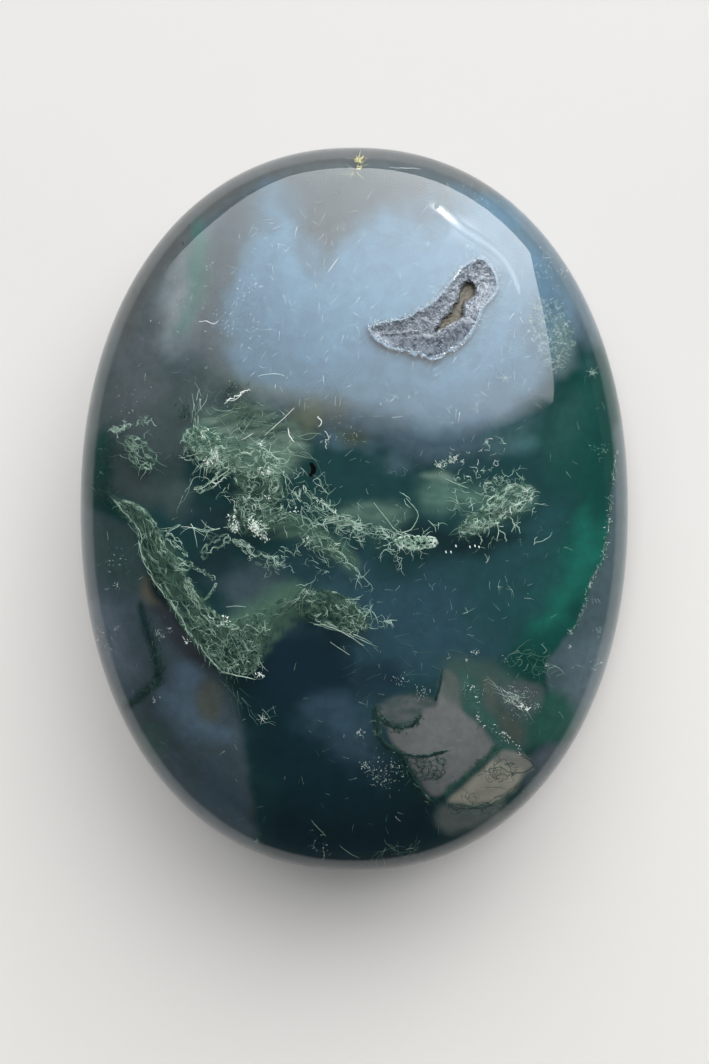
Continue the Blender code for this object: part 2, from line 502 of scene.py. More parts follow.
def smooth_polish(piece):
    """Gives the polished faces the true slope of the skin, and leaves the hollow's faces flat."""
    mesh = piece.data
    places = points_of(piece)
    slopes = outward(places)
    slopes[places[:, 2] < 1e-3] = (0.0, 0.0, -1.0)
    centres = read_all(mesh.polygons, "center", 3) / MM
    in_hollow = (level(centres) < 0.995) & (centres[:, 2] > GIRDLE)
    corners = read_all(mesh.polygons, "loop_total", kind=np.int32)
    chosen = np.where(
        np.repeat(in_hollow, corners)[:, None],
        np.repeat(read_all(mesh.polygons, "normal", 3), corners, axis=0),
        slopes[read_all(mesh.loops, "vertex_index", kind=np.int32)],
    )
    mesh.normals_split_custom_set(chosen.tolist())


# The cloud of colour under the skin. Each zone has its edge's softness in pixels, its tone and its outline,
# and how streaky it is if it is.

GROUND = (0.004, 0.034, 0.038)
ZONES = {
    "navy_middle": (34, (0.017, 0.053, 0.075), (
        (300, 570), (350, 560), (420, 575), (500, 560), (530, 600), (520, 650), (460, 680), (400, 690),
        (330, 670), (290, 640))),
    "teal_right": (26, (0.009, 0.049, 0.056), (
        (470, 540), (540, 505), (575, 540), (560, 620), (520, 650), (470, 620))),
    "deep_green": (26, (0.0, 0.040, 0.034), (
        (572, 330), (600, 350), (640, 450), (625, 560), (590, 650), (545, 690), (515, 690), (500, 650),
        (545, 610), (566, 540), (560, 470), (545, 420), (560, 370))),
    "green_haze": (22, (0.008, 0.052, 0.047), (
        (536, 402), (574, 396), (588, 424), (576, 456), (548, 462), (532, 430))),
    "green_fold": (22, (0.005, 0.100, 0.078), (
        (590, 512), (606, 526), (600, 565), (580, 600), (558, 628), (540, 636), (530, 626), (542, 604),
        (560, 574), (576, 540))),
    "dark_bottom": (24, (0.0, 0.017, 0.026), (
        (235, 690), (300, 640), (345, 660), (350, 720), (395, 770), (430, 800), (450, 840), (430, 880),
        (340, 900), (262, 880), (268, 800), (250, 740))),
    "slate_bottom": (26, (0.028, 0.062, 0.092), (
        (312, 690), (342, 684), (362, 692), (370, 716), (384, 748), (374, 770), (350, 758), (326, 734),
        (310, 712))),
    "night_by_window": (14, (0.006, 0.024, 0.040), (
        (360, 668), (390, 662), (404, 678), (394, 694), (368, 692))),
    "night_blue": (16, (0.001, 0.016, 0.029), (
        (262, 640), (330, 640), (360, 690), (330, 700), (262, 690))),
    "grey_left": (15, (0.044, 0.064, 0.069), (
        (60, 520), (60, 420), (90, 330), (140, 230), (200, 170), (262, 140), (258, 190), (236, 250),
        (232, 330), (238, 390), (215, 410), (196, 440), (172, 470), (150, 500), (118, 494), (100, 510))),
    "grey_core": (20, (0.006, 0.026, 0.033), (
        (194, 506), (232, 505), (236, 540), (228, 570), (214, 584), (198, 560), (190, 530))),
    "lilac_core": (18, (0.042, 0.070, 0.088), (
        (222, 572), (262, 566), (292, 584), (262, 606), (238, 614), (222, 600))),
    "taupe_core": (14, (0.046, 0.072, 0.074), (
        (150, 486), (184, 482), (196, 494), (186, 512), (164, 508))),
    "grey_low": (12, (0.026, 0.048, 0.050), (
        (132, 462), (156, 456), (176, 462), (172, 478), (150, 484), (134, 476))),
    "milk": (26, (0.069, 0.126, 0.178), (
        (240, 210), (268, 172), (310, 150), (400, 150), (480, 170), (550, 225), (592, 300), (575, 350),
        (545, 395), (507, 426), (470, 438), (430, 444), (395, 428), (348, 414), (298, 411), (248, 403),
        (213, 364), (216, 290))),
    "milk_heart": (40, (0.088, 0.163, 0.232), (
        (260, 240), (300, 225), (400, 240), (480, 235), (520, 290), (500, 350), (450, 390), (400, 370),
        (320, 350), (270, 310))),
    "smoke": (22, (0.051, 0.071, 0.083), (
        (272, 160), (310, 150), (430, 150), (470, 185), (430, 205), (375, 215), (345, 245), (322, 262),
        (300, 240), (292, 205))),
    "smoke_left": (20, (0.060, 0.086, 0.104), (
        (172, 240), (205, 205), (250, 180), (262, 214), (244, 250), (226, 300), (222, 345), (236, 378),
        (200, 380), (160, 330), (160, 280))),
    "grey_high": (22, (0.135, 0.163, 0.182), (
        (144, 306), (156, 272), (178, 254), (192, 282), (192, 322), (178, 346), (154, 340))),
    "smoke_right": (14, (0.072, 0.112, 0.142), (
        (520, 214), (560, 226), (600, 300), (604, 336), (584, 340), (566, 300), (546, 262), (524, 236))),
    "haze_by_sky": (14, (0.044, 0.114, 0.122), (
        (486, 430), (514, 418), (532, 422), (526, 444), (506, 454), (486, 448))),
    "milk_shade": (20, (0.080, 0.138, 0.182), (
        (345, 400), (398, 412), (440, 436), (480, 436), (500, 446), (440, 462), (380, 452), (330, 430))),
    "taupe_high": (18, (0.072, 0.088, 0.098), (
        (110, 330), (128, 280), (148, 262), (154, 300), (158, 350), (160, 395), (136, 418), (112, 404))),
    "smoke_rim": (9, (0.062, 0.070, 0.074), (
        (112, 310), (130, 250), (170, 200), (230, 160), (300, 138), (400, 136), (470, 158), (502, 190),
        (470, 188), (430, 172), (380, 164), (330, 168), (280, 180), (235, 202), (200, 230), (168, 268),
        (146, 306), (128, 340))),
    "green_streak": (10, (0.034, 0.105, 0.096), (
        (196, 222), (210, 236), (206, 262), (200, 300), (186, 330), (176, 330), (188, 296), (193, 256))),
    "left_edge_teal": (9, (0.002, 0.036, 0.034), (
        (84, 455), (104, 430), (112, 450), (112, 490), (130, 508), (132, 528), (112, 524), (86, 516))),
    "lower_left": (7, (0.048, 0.074, 0.092), (
        (70, 520), (112, 520), (136, 540), (148, 580), (172, 602), (196, 640), (221, 674), (238, 712),
        (247, 762), (254, 820), (254, 862), (190, 820), (100, 680))),
    "lilac_left": (12, (0.092, 0.122, 0.158), (
        (96, 606), (118, 612), (132, 640), (134, 676), (116, 668), (102, 640))),
    "left_olive": (10, (0.034, 0.066, 0.070), (
        (92, 525), (120, 520), (142, 550), (140, 590), (110, 585), (92, 560))),
    "brown_patch": (7, (0.100, 0.098, 0.074), (
        (142, 579), (152, 577), (160, 592), (164, 612), (150, 602), (140, 590))),
    "black_teal": (5, (0.001, 0.012, 0.015), (
        (149, 574), (165, 592), (184, 626), (178, 628), (160, 604), (150, 590))),
    "lilac_edge": (9, (0.030, 0.038, 0.048), (
        (150, 606), (170, 610), (196, 642), (212, 668), (196, 672), (170, 640))),
    "blue_pool": (10, (0.074, 0.118, 0.168), (
        (180, 664), (200, 670), (202, 690), (184, 692), (176, 680))),
    "blue_slope": (14, (0.076, 0.124, 0.172), (
        (162, 690), (200, 700), (228, 726), (226, 742), (196, 735), (168, 716))),
    "brown_pool": (7, (0.076, 0.088, 0.080), (
        (202, 684), (214, 682), (222, 700), (218, 718), (202, 716), (196, 700))),
    "blue_haze": (14, (0.050, 0.080, 0.110), (
        (205, 770), (226, 775), (240, 798), (242, 822), (226, 810), (206, 790))),
    "rim_green": (9, (0.040, 0.080, 0.078), ((140, 735), (160, 722), (168, 740), (158, 756), (146, 752))),
    "vein": (4, (0.002, 0.020, 0.023), (
        (144, 604), (152, 640), (162, 678), (148, 694), (128, 708), (126, 704), (142, 690), (154, 674),
        (146, 640), (138, 606))),
    "olive_cloud": (14, (0.150, 0.222, 0.184), (
        (206, 412), (232, 402), (262, 402), (284, 412), (304, 428), (310, 446), (300, 462), (286, 468),
        (262, 452), (226, 446), (206, 434)), 0.6),
    "moss_ground": (8, (0.064, 0.124, 0.096), (
        (190, 440), (228, 446), (276, 458), (282, 480), (280, 512), (300, 520), (344, 548), (350, 566),
        (320, 548), (262, 532), (230, 528), (236, 500), (232, 474), (204, 466)), 0.7),
    "fibre_ground": (7, (0.120, 0.205, 0.162), (
        (206, 446), (230, 440), (258, 440), (284, 450), (290, 468), (270, 478), (238, 472),
        (212, 466)), 0.5),
    "head_ground": (6, (0.060, 0.150, 0.124), (
        (184, 434), (196, 424), (212, 428), (222, 444), (210, 456), (192, 448)), 0.5),
    "arm_ground": (8, (0.014, 0.050, 0.046), (
        (296, 488), (330, 500), (372, 522), (430, 538), (432, 548), (380, 548), (340, 530),
        (312, 512)), 0.6),
    "tip_ground": (5, (0.070, 0.150, 0.120), (
        (396, 536), (416, 533), (434, 537), (434, 547), (414, 550), (398, 546)), 0.5),
    "lower_arm_ground": (6, (0.060, 0.128, 0.098), (
        (262, 520), (296, 516), (326, 534), (350, 552), (360, 572), (346, 570), (320, 550),
        (290, 534)), 0.5),
    "plume_ground": (5, (0.058, 0.118, 0.088), (
        (114, 500), (138, 506), (160, 530), (184, 566), (206, 606), (222, 624), (262, 612), (300, 596),
        (312, 610), (284, 634), (256, 668), (224, 670), (188, 630), (168, 598), (146, 560),
        (138, 532)), 0.8),
    "haze_by_brush": (10, (0.060, 0.128, 0.096), (
        (232, 620), (250, 603), (276, 587), (294, 580), (302, 592), (292, 605), (274, 618), (268, 634),
        (242, 632))),
    "brush_ground": (9, (0.040, 0.096, 0.062), (
        (296, 596), (322, 590), (348, 600), (366, 622), (352, 632), (322, 622), (300, 618)), 0.5),
    "haze_left": (12, (0.082, 0.116, 0.122), (
        (200, 366), (232, 370), (262, 382), (300, 396), (345, 406), (344, 424), (318, 420), (280, 404),
        (232, 398), (196, 392))),
    "tan_spot": (10, (0.130, 0.160, 0.120), ((292, 410), (316, 408), (322, 424), (306, 430), (294, 424))),
    "tan_spot_low": (9, (0.065, 0.090, 0.068), ((342, 428), (362, 430), (366, 442), (348, 444))),
    "olive_right": (16, (0.074, 0.150, 0.122), (
        (420, 492), (434, 482), (458, 484), (484, 494), (478, 508), (444, 506), (424, 504)), 0.25),
    "olive_streak": (5, (0.140, 0.210, 0.180), ((422, 476), (446, 474), (456, 481), (432, 481))),
    "olive_middle": (9, (0.064, 0.122, 0.100), (
        (344, 508), (374, 500), (404, 508), (410, 518), (396, 530), (366, 524), (346, 518)), 0.3),
    "right_ground": (6, (0.062, 0.140, 0.118), (
        (458, 524), (476, 510), (500, 490), (534, 488), (534, 502), (508, 520), (482, 532),
        (462, 536)), 0.5),
    "dark_behind": (12, (0.001, 0.016, 0.020), (
        (404, 520), (440, 524), (458, 540), (500, 536), (520, 540), (470, 556), (410, 548))),
    "clear_band": (3, (0.050, 0.083, 0.097), (
        (622, 420), (617, 457), (612, 496), (608, 530), (602, 560), (591, 579), (586, 601), (577, 624),
        (569, 634), (554, 652), (546, 664), (548, 690), (566, 716), (578, 740), (600, 760), (700, 700),
        (720, 420))),
    "clear_low": (12, (0.080, 0.118, 0.142), (
        (566, 652), (590, 632), (612, 640), (604, 676), (586, 704), (566, 694))),
    "frost_by_edge": (8, (0.095, 0.152, 0.168), (
        (552, 318), (567, 325), (577, 348), (576, 364), (568, 374), (555, 373), (548, 345))),
    "low_right_grey": (12, (0.044, 0.060, 0.066), (
        (552, 756), (600, 740), (600, 820), (500, 900), (440, 900), (456, 858), (476, 832), (520, 806))),
    "lilac_low": (7, (0.118, 0.142, 0.138), (
        (438, 808), (462, 806), (486, 801), (502, 797), (500, 811), (476, 827), (446, 830))),
    "window_far": (10, (0.034, 0.072, 0.066), (
        (443, 664), (470, 658), (500, 664), (530, 686), (540, 712), (532, 742), (520, 752), (498, 744),
        (474, 720), (450, 700))),
    "lobe": (5, (0.090, 0.104, 0.106), (
        (377, 712), (380, 703), (397, 697), (420, 697), (434, 703), (430, 716), (410, 722),
        (384, 724)), 0.4),
    "window": (3, (0.150, 0.158, 0.160), (
        (443, 680), (452, 686), (460, 700), (465, 712), (474, 720), (481, 728), (490, 737), (496, 746),
        (487, 755), (474, 768), (459, 780), (447, 792), (432, 796), (417, 778), (404, 755), (392, 742),
        (388, 728), (404, 727), (416, 722), (424, 710), (435, 706), (438, 692))),
    "window_top": (5, (0.086, 0.108, 0.102), (
        (443, 670), (456, 676), (462, 692), (462, 704), (450, 700), (440, 694))),
    "tan_floor": (5, (0.330, 0.315, 0.270), (
        (502, 750), (517, 754), (532, 766), (524, 775), (515, 786), (501, 797), (484, 804), (464, 805),
        (450, 802), (458, 792), (476, 776))),
    "tan_shade": (6, (0.200, 0.205, 0.185), (
        (502, 750), (517, 754), (532, 766), (526, 773), (505, 767), (494, 760))),
    "band_by_window": (6, (0.030, 0.092, 0.082), (
        (459, 672), (470, 676), (480, 690), (486, 706), (498, 722), (512, 738), (524, 750), (512, 752),
        (498, 745), (484, 730), (474, 718), (466, 706), (464, 690))),
    "band_below_window": (3.5, (0.016, 0.070, 0.058), (
        (504, 745), (497, 756), (484, 763), (479, 771), (468, 777), (463, 784), (454, 787), (450, 797),
        (445, 794), (448, 784), (456, 781), (463, 775), (472, 769), (477, 761), (488, 755), (494, 746))),
    "brown_strip": (5, (0.068, 0.086, 0.078), (
        (484, 682), (494, 678), (497, 698), (494, 714), (486, 704))),
    "frost_ground": (7, (0.062, 0.084, 0.090), (
        (500, 690), (520, 682), (540, 690), (542, 704), (530, 714), (512, 712), (500, 702))),
    "brown_corner": (7, (0.060, 0.078, 0.068), (
        (498, 714), (514, 718), (522, 730), (518, 742), (506, 734))),
    "green_patch": (9, (0.018, 0.082, 0.064), (
        (532, 712), (548, 694), (572, 700), (570, 730), (548, 748), (528, 742))),
    "lilac_patch": (8, (0.060, 0.080, 0.098), (
        (534, 758), (552, 746), (566, 752), (552, 778), (530, 792), (524, 782), (538, 768))),
}


ZONE_WANDER = 0.45  # how far a zone's edge wanders, as a share of its softness
STREAK_PULL = ((0.30, -0.06), (0.20, 0.98))  # draws soft noise out into streaks


def ripple(places, wavelength, seed, layers=3):
    """Soft noise over flat places, about -1 to 1."""
    draw = np.random.default_rng(seed)
    total = np.zeros(len(places))
    for layer in range(layers):
        for _ in range(5):
            angle, phase = draw.uniform(0, math.tau, 2)
            wave = math.tau / wavelength * 1.9**layer * draw.uniform(0.7, 1.3)
            total += np.sin(places @ (math.cos(angle), math.sin(angle)) * wave + phase) * 0.5**layer
    return total / 4.0


def cloud_tones(seen):
    """The cloud's tone at the places seen at these pixels."""
    shift = np.column_stack((ripple(seen, 60, 11), ripple(seen, 60, 12)))
    streaks = smoothstep(ripple(seen @ STREAK_PULL, 11, 13, layers=4), -0.5, 0.6)
    tones = np.tile(GROUND, (len(seen), 1))
    for softness, tone, outline, *streaky in ZONES.values():
        moved = seen + shift * softness * ZONE_WANDER
        share = 1.0 - smoothstep(distance_to_patch(moved, smoothed(outline, 4)), -softness, softness)
        if streaky:
            share = share * (1.0 - streaky[0] * streaks)
        tones += share[:, None] * (np.array(tone) - tones)
    return tones


def cloud_finish():
    finish = Finish("cloud")
    tone = finish.node("ShaderNodeAttribute", {"attribute_name": "tone"}, result="Color")
    cloudiness = finish.noise(0.9, detail=5.0, roughness=0.62, distortion=0.4)
    mottle = 0.87 + 0.26 * finish.between(cloudiness, 0.25, 0.75)
    tone = finish.node("ShaderNodeVectorMath", {"operation": "SCALE"}, {0: tone, "Scale": mottle})
    return finish.surface(Base_Color=tone, Roughness=0.7, Specular_IOR_Level=0.1)


# How far below the skin the cloud begins in the clear parts, in the milk and at the stone's edge
CLEAR_DEPTH = 2.6
MILK_DEPTH = 0.7
EDGE_DEPTH = 0.55
CLOUD_NET = (480, 150, 40)
HOLLOW_GAP = 0.15


def cloud_depth(skin):
    """How far below the skin the cloud begins."""
    seen = seen_by_camera(skin)
    milky = 1.0 - smoothstep(distance_to_patch(seen, smoothed(ZONES["milk"][2], 4)), -20, 32)
    milky *= smoothstep(skin[:, 2], GIRDLE, GIRDLE + 5)
    depth = CLEAR_DEPTH + (MILK_DEPTH - CLEAR_DEPTH) * milky
    low = 1.0 - smoothstep(skin[:, 2], GIRDLE - 1, GIRDLE + 6)
    return depth + (EDGE_DEPTH - depth) * low


def cloud(mouth):
    turn, rise, faces = stone_net(*CLOUD_NET)
    skin = skin_points(turn, rise)
    piece = add_mesh("cloud", skin - outward(skin) * cloud_depth(skin)[:, None], faces, cloud_finish())
    cut_hollow(piece, spread_out(mouth, HOLLOW_GAP), HOLLOW_GAP)
    piece.data.polygons.foreach_set("use_smooth", [True] * len(piece.data.polygons))
    places = points_of(piece)
    kept = piece.data.attributes.new("tone", "FLOAT_COLOR", "POINT")
    tones = np.column_stack((cloud_tones(seen_in_stone(places)), np.ones(len(places))))
    kept.data.foreach_set("color", tones.astype(np.float32).ravel())
    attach(piece, "root")


# The crust of crystals in the hollow

CLEFT_PX = (
    (433, 331), (440, 324), (441.5, 319), (450, 312), (453, 305.5), (458.5, 298), (459.6, 291),
    (462.3, 285), (467, 281), (473, 282), (476, 288), (475.5, 295), (470, 299), (464.6, 304),
    (463.8, 310), (463.8, 316), (454, 322), (444, 327), (440, 330),
)
RIDGES_PX = (
    ((460, 270), (453, 282), (450, 290)), ((486, 296), (480, 304), (476, 312)),
    ((464, 318), (455, 323), (446, 328)), ((424, 311), (416, 320), (407, 327)), ((436, 333), (443, 332)),
    ((452, 346), (444, 352), (434, 358)),
)
CREASE_PX = ((435, 334), (420, 334), (402, 336), (384, 336))
CRUST_FALL = 0.75
CLEFT_DEPTH = 1.45
CRUST_FLARE = 0.26  # how far the crust runs on under the polish
CRUST_THICK = 0.35
CRUST_NET = 0.22
RIDGE_WIDTH = 0.22
POINT_TRIES = 9000
MOST_POINTS = 3300
# Where shade is painted on the crust, on its lower bank beside the cleft
SHADED_PX = (
    (388, 339), (412, 336), (436, 336), (450, 329), (464, 321), (472, 330), (460, 346), (440, 359),
    (424, 362), (410, 352), (396, 347),
)


def seen_from_above(pixels):
    """The places across and along the stone at which the skin shows at these pixels."""
    return on_skin(pixels)[0][:, :2]


def cleft_share(plan):
    """0 on the crust, 1 down in the cleft, and a little in the crease that runs on from it."""
    cleft = seen_from_above(smoothed(CLEFT_PX, 3))
    crease = seen_from_above(smoothed(CREASE_PX, 4, closed=False))
    share = 1.0 - smoothstep(distance_to_patch(plan, cleft), -0.12, 0.10)
    return np.maximum(share, 0.22 * (1.0 - smoothstep(distance_to_line(plan, crease), 0.05, 0.3)))


def crust_depth(plan, mouth):
    """How far the crust lies below the polish. Round the mouth it runs on just under the polish."""
    inward = np.maximum(0.0, -distance_to_patch(plan, mouth))
    bank = 0.05 + 0.75 * (1.0 - np.exp(-inward / CRUST_FALL))
    return bank + (CLEFT_DEPTH - bank) * cleft_share(plan)


def crust_finish():
    """Grey quartz, with painted shade low down, brown in the cleft, and as milky as the stone under the
    polish.
    """
    finish = Finish("quartz_druse")
    grain = finish.between(finish.noise(5.5, detail=3.0, roughness=0.7), 0.36, 0.64)
    tone = finish.mix(grain, (0.130, 0.152, 0.186), (0.320, 0.365, 0.420))
    # Painted shade darkens the crust's lower bank.
    tone = finish.mix(finish.attribute("shaded") * 0.85, tone, (0.045, 0.064, 0.088))
    tone = finish.mix(finish.between(finish.attribute("cleft"), 0.3, 0.8), tone, (0.110, 0.104, 0.084))
    tone = finish.mix(finish.attribute("buried"), tone, (0.080, 0.150, 0.215))
    tone = finish.mix(finish.attribute("bright"), tone, (0.80, 0.85, 0.90))
    return finish.surface(Base_Color=tone, Roughness=0.4, Specular_IOR_Level=0.3)


def quartz_point(base, tip, width, turn):
    """The corners of one six-sided crystal with a pointed end."""
    along = (tip - base) / np.linalg.norm(tip - base)
    side = np.cross(along, (0.31, 0.52, 0.79))
    side /= np.linalg.norm(side)
    over = np.cross(along, side)
    angles = turn + math.tau * np.arange(6) / 6
    ring = np.cos(angles)[:, None] * side + np.sin(angles)[:, None] * over
    shoulder = tip - along * width * 1.1
    return np.vstack((base + ring * width * 0.55, shoulder + ring * width * 0.5, tip[None]))


def crust_bed(draw, rim, mouth):
    """The crust's jagged floor: its corners, its faces and how deep in the cleft each corner is."""
    plan, faces = filled(rim, CRUST_NET, seed=5, edge_share=0.5)
    in_cleft = cleft_share(plan)
    tops = crown_height(*plan.T) - crust_depth(plan, mouth)
    inner = distance_to_patch(plan, mouth) < -0.08
    rough = draw.uniform(-0.10, 0.10, len(plan)) * (1 - 0.6 * in_cleft)
    tops += np.where(inner, rough, draw.uniform(-0.12, 0.0, len(plan)))
    corners, sides = slab(plan, faces, tops, tops - CRUST_THICK)
    return corners, sides, np.tile(in_cleft, 2)


def point_spots(draw, rim, mouth):
    """Where the quartz points stand: closely in the mouth, thinning out past it, and none in the cleft."""
    spots = draw.uniform(rim.min(axis=0), rim.max(axis=0), (POINT_TRIES, 2))
    outside = distance_to_patch(spots, mouth)
    spots = spots[outside < draw.uniform(0, 0.55, len(spots)) ** 1.5]
    return spots[cleft_share(spots) < 0.35][:MOST_POINTS]


def point_dimming(spots, mouth):
    """How seldom a quartz point is bright. Those on the ridges mostly are, and those by the rim often."""
    ridges = [seen_from_above(line) for line in RIDGES_PX]
    to_ridge = np.min([distance_to_line(spots, ridge) for ridge in ridges], axis=0)
    dimming = 5.0 - 4.0 * np.exp(-((to_ridge / RIDGE_WIDTH) ** 2))
    return dimming - 1.8 * smoothstep(distance_to_patch(spots, mouth), -0.2, 0.0)


def druse_crust(mouth):
    """The crust: a jagged bed with small quartz points standing out of it."""
    draw = np.random.default_rng(21)
    rim = spread_out(mouth, CRUST_FLARE)
    rim = rim + draw.normal(0, 0.13, rim.shape)
    corners, sides, in_cleft = crust_bed(draw, rim, mouth)
    spots = point_spots(draw, rim, mouth)
    feet = np.column_stack((spots, crown_height(*spots.T) - crust_depth(spots, mouth) - 0.12))
    lean = unit(np.column_stack((draw.normal(0, 0.26, (len(spots), 2)), np.ones(len(spots)))))
    tips = feet + lean * draw.uniform(0.12, 0.26, len(spots))[:, None]
    tips[:, 2] = np.minimum(tips[:, 2], crown_height(*tips[:, :2].T) - 0.02)

    all_points, bright = [corners], [np.zeros(len(corners))]
    count = len(corners)
    for foot, tip, dim in zip(feet, tips, point_dimming(spots, mouth)):
        all_points.append(quartz_point(foot, tip, draw.uniform(0.08, 0.17), draw.uniform(0, 1)))
        bright.append(np.full(len(all_points[-1]), draw.uniform(0, 0.9) ** dim))
        for index in range(6):
            after = (index + 1) % 6
            sides.append((count + index, count + after, count + 6 + after, count + 6 + index))
            sides.append((count + 6 + index, count + 6 + after, count + 12))
        count += len(all_points[-1])
    piece = add_mesh("druse", np.vstack(all_points), sides, crust_finish(), smooth=False)
    keep_number(piece, "cleft", np.append(in_cleft, np.zeros(count - len(in_cleft))))
    keep_number(piece, "bright", np.concatenate(bright))
    places = points_of(piece)
    keep_number(piece, "buried", 0.9 * smoothstep(distance_to_patch(places[:, :2], mouth), -0.10, 0.04))
    # How far into the painted shade each point lies
    to_shade = distance_to_patch(seen_by_camera(places), smoothed(SHADED_PX, 3))
    keep_number(piece, "shaded", 1.0 - smoothstep(to_shade, -4, 4))
    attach(piece, "root")
    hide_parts("druse_crust")


# Moss, needles and specks inside the stone

GAP_SPACING = 15.0  # pixels between the gaps in the moss
GAP_SEED = 51
TONE_SPACING = 22.0  # pixels between its paler parts
TONE_SEED = 52
TONE_SWING = 0.26
CURL_SPREAD = 0.7  # how much of the curl each step's own bend takes
CURL_KEPT = 0.55  # how much of the last step's bend goes on
WEB_STEPS = 60  # places along each side of a web
ROPE_STEPS = 6  # places along each strand of a net


class Strands:
    """Fine strands that lie inside the stone, gathered stroke by stroke and then made into one mesh.

    Strands are told where they grow, how many they are or how wide their net's cells are, which way and how
    far apart they run, how long and how curly they are, and their tone. Those that are not told how deep
    they lie or how thick they are take the depth and the radius that all of them share.
    """

    def __init__(self, seed, depth=None, radius=None):
        self.draw = np.random.default_rng(seed)
        self.groups = []
        self.depth = depth
        self.radius = radius

    def add(self, lines, depth, radius, pale):
        """Adds strands that all have as many steps: their pixels, depths, radii and tones at each step."""
        shape = lines.shape[:2]
        self.groups.append((lines, *(np.broadcast_to(value, shape) for value in (depth, radius, pale))))

    def grow(self, starts, headings, length, curl, depth, radius, pale, forks=0, steps=7):
        """Grows a strand from each start. Length, depth, radius and tone are each a range."""
        draw, count = self.draw, len(starts)
        lines = strokes(draw, starts, headings, draw.uniform(*length, count), curl, steps)
        along = np.linspace(0, 1, steps)
        deep = draw.uniform(*depth, (count, 1)) + draw.normal(0, 0.12, (count, 1)) * along
        thick = draw.uniform(*radius, (count, 1)) * (1.0 - 0.7 * along**1.5)
        tone = draw.uniform(*pale, (count, 1)) + draw.normal(0, 0.08, (count, 1)) * along
        tone = tone + TONE_SWING * ripple(starts, TONE_SPACING, TONE_SEED)[:, None]
        self.add(lines, np.maximum(deep, 0.04), thick, tone)
        if forks:
            at = draw.integers(1, steps - 2, count)
            rows = np.arange(count)
            ahead = lines[rows, at + 1] - lines[rows, at]
            turned = np.arctan2(ahead[:, 1], ahead[:, 0])
            turned = turned + draw.uniform(0.5, 1.2, count) * draw.choice((-1, 1), count)
            shorter = [value * 0.6 for value in length]
            thinner = [value * 0.75 for value in radius]
            self.grow(lines[rows, at], turned, shorter, curl, depth, thinner, pale, forks - 1,
                      max(4, steps - 2))

    def along(self, guide, count, spread, scatter, length, curl, pale,
              forks=0, steps=7, gaps=-0.35, depth=None, radius=None):
        """Grows strands from places spread about a guide line, headed along it within that scatter."""
        starts, headings = spread_along(self.draw, guide, count, spread)
        kept = ripple(starts, GAP_SPACING, GAP_SEED) > gaps
        starts, headings = starts[kept], headings[kept]
        headings = headings + self.draw.normal(0, scatter, len(starts))
        headings = headings + math.pi * self.draw.integers(0, 2, len(starts))
        depth, radius = depth or self.depth, radius or self.radius
        self.grow(starts, headings, length, curl, depth, radius, pale, forks, steps)

    def within(self, outline, count, heading, scatter, length, curl, pale,
               forks=0, steps=7, gaps=-0.35, depth=None, radius=None):
        """Grows strands from places all over a patch, headed one way within that scatter."""
        starts = places_within(self.draw, outline, count)
        starts = starts[ripple(starts, GAP_SPACING, GAP_SEED) > gaps]
        headings = heading + self.draw.normal(0, scatter, len(starts))
        headings = headings + math.pi * self.draw.integers(0, 2, len(starts))
        depth, radius = depth or self.depth, radius or self.radius
        self.grow(starts, headings, length, curl, depth, radius, pale, forks, steps)

    def web(self, left, right, cell, stretch, ropes, pale, loose=0.6, lost=0.15, depth=None, radius=None):
        """Grows a net of strands between two lines, its cells drawn out that much along them."""
        ends = [evenly(side, WEB_STEPS) for side in (left, right)]
        length = np.linalg.norm(np.diff(ends[0] + ends[1], axis=0), axis=1).sum() / 2
        width = np.linalg.norm(ends[1] - ends[0], axis=1).mean()
        box = np.array(((0, 0), (length / stretch, 0), (length / stretch, width), (0, width)))
        middles, pairs = cells(box, cell, len(self.groups))
        along = middles[:, 0] * stretch / length
        marks = np.linspace(0, 1, WEB_STEPS)
        start, end = (places_at(along, marks, side) for side in ends)
        places = start + (end - start) * middles[:, 1:] / width
        self.net(places, pairs, ropes, depth or self.depth, radius or self.radius, pale, loose, lost)

    def mat(self, outline, cell, stretch, heading, ropes, pale,
            loose=0.6, lost=0.15, depth=None, radius=None):
        """Grows such a net over a patch, its cells drawn out along the heading."""
        turn = np.array(((math.cos(heading), -math.sin(heading)), (math.sin(heading), math.cos(heading))))
        middles, pairs = cells(smoothed(outline, 4) @ turn / (stretch, 1), cell, len(self.groups))
        places = middles * (stretch, 1) @ turn.T
        self.net(places, pairs, ropes, depth or self.depth, radius or self.radius, pale, loose, lost)

    def net(self, places, pairs, ropes, depth, radius, pale, loose, lost):
        """Grows a few strands side by side along each pair of places, but for the share that is lost."""
        draw = self.draw
        kept = pairs[draw.uniform(0, 1, len(pairs)) > lost]
        tone = pale[0] + (pale[1] - pale[0]) * draw.uniform(0, 1, (len(kept), 1)) ** 1.5
        tone = np.repeat(tone, ropes, axis=0)
        kept = np.repeat(kept, ropes, axis=0)
        start, end = (places[kept[:, index]] + draw.normal(0, loose, (len(kept), 2)) for index in (0, 1))
        share = np.linspace(-0.12, 1.12, ROPE_STEPS)
        side = (end - start)[:, None]
        over = np.stack((-side[..., 1], side[..., 0]), axis=-1)
        bulge = (draw.normal(0, 0.16, (len(kept), 1)) * (1 - (2 * share - 1) ** 2))[..., None]
        lines = start[:, None] + side * share[:, None] + over * bulge
        lines = lines + draw.normal(0, 0.26, lines.shape)
        tone = tone + draw.normal(0, 0.1, tone.shape)
        tone = tone + TONE_SWING * ripple(start, TONE_SPACING, TONE_SEED)[:, None]
        swell = 0.5 + 0.5 * np.sin(math.pi * np.linspace(0.1, 0.9, ROPE_STEPS))
        thick = draw.uniform(*radius, (len(kept), 1)) * swell
        self.add(lines, draw.uniform(*depth, (len(kept), 1)), thick, tone)

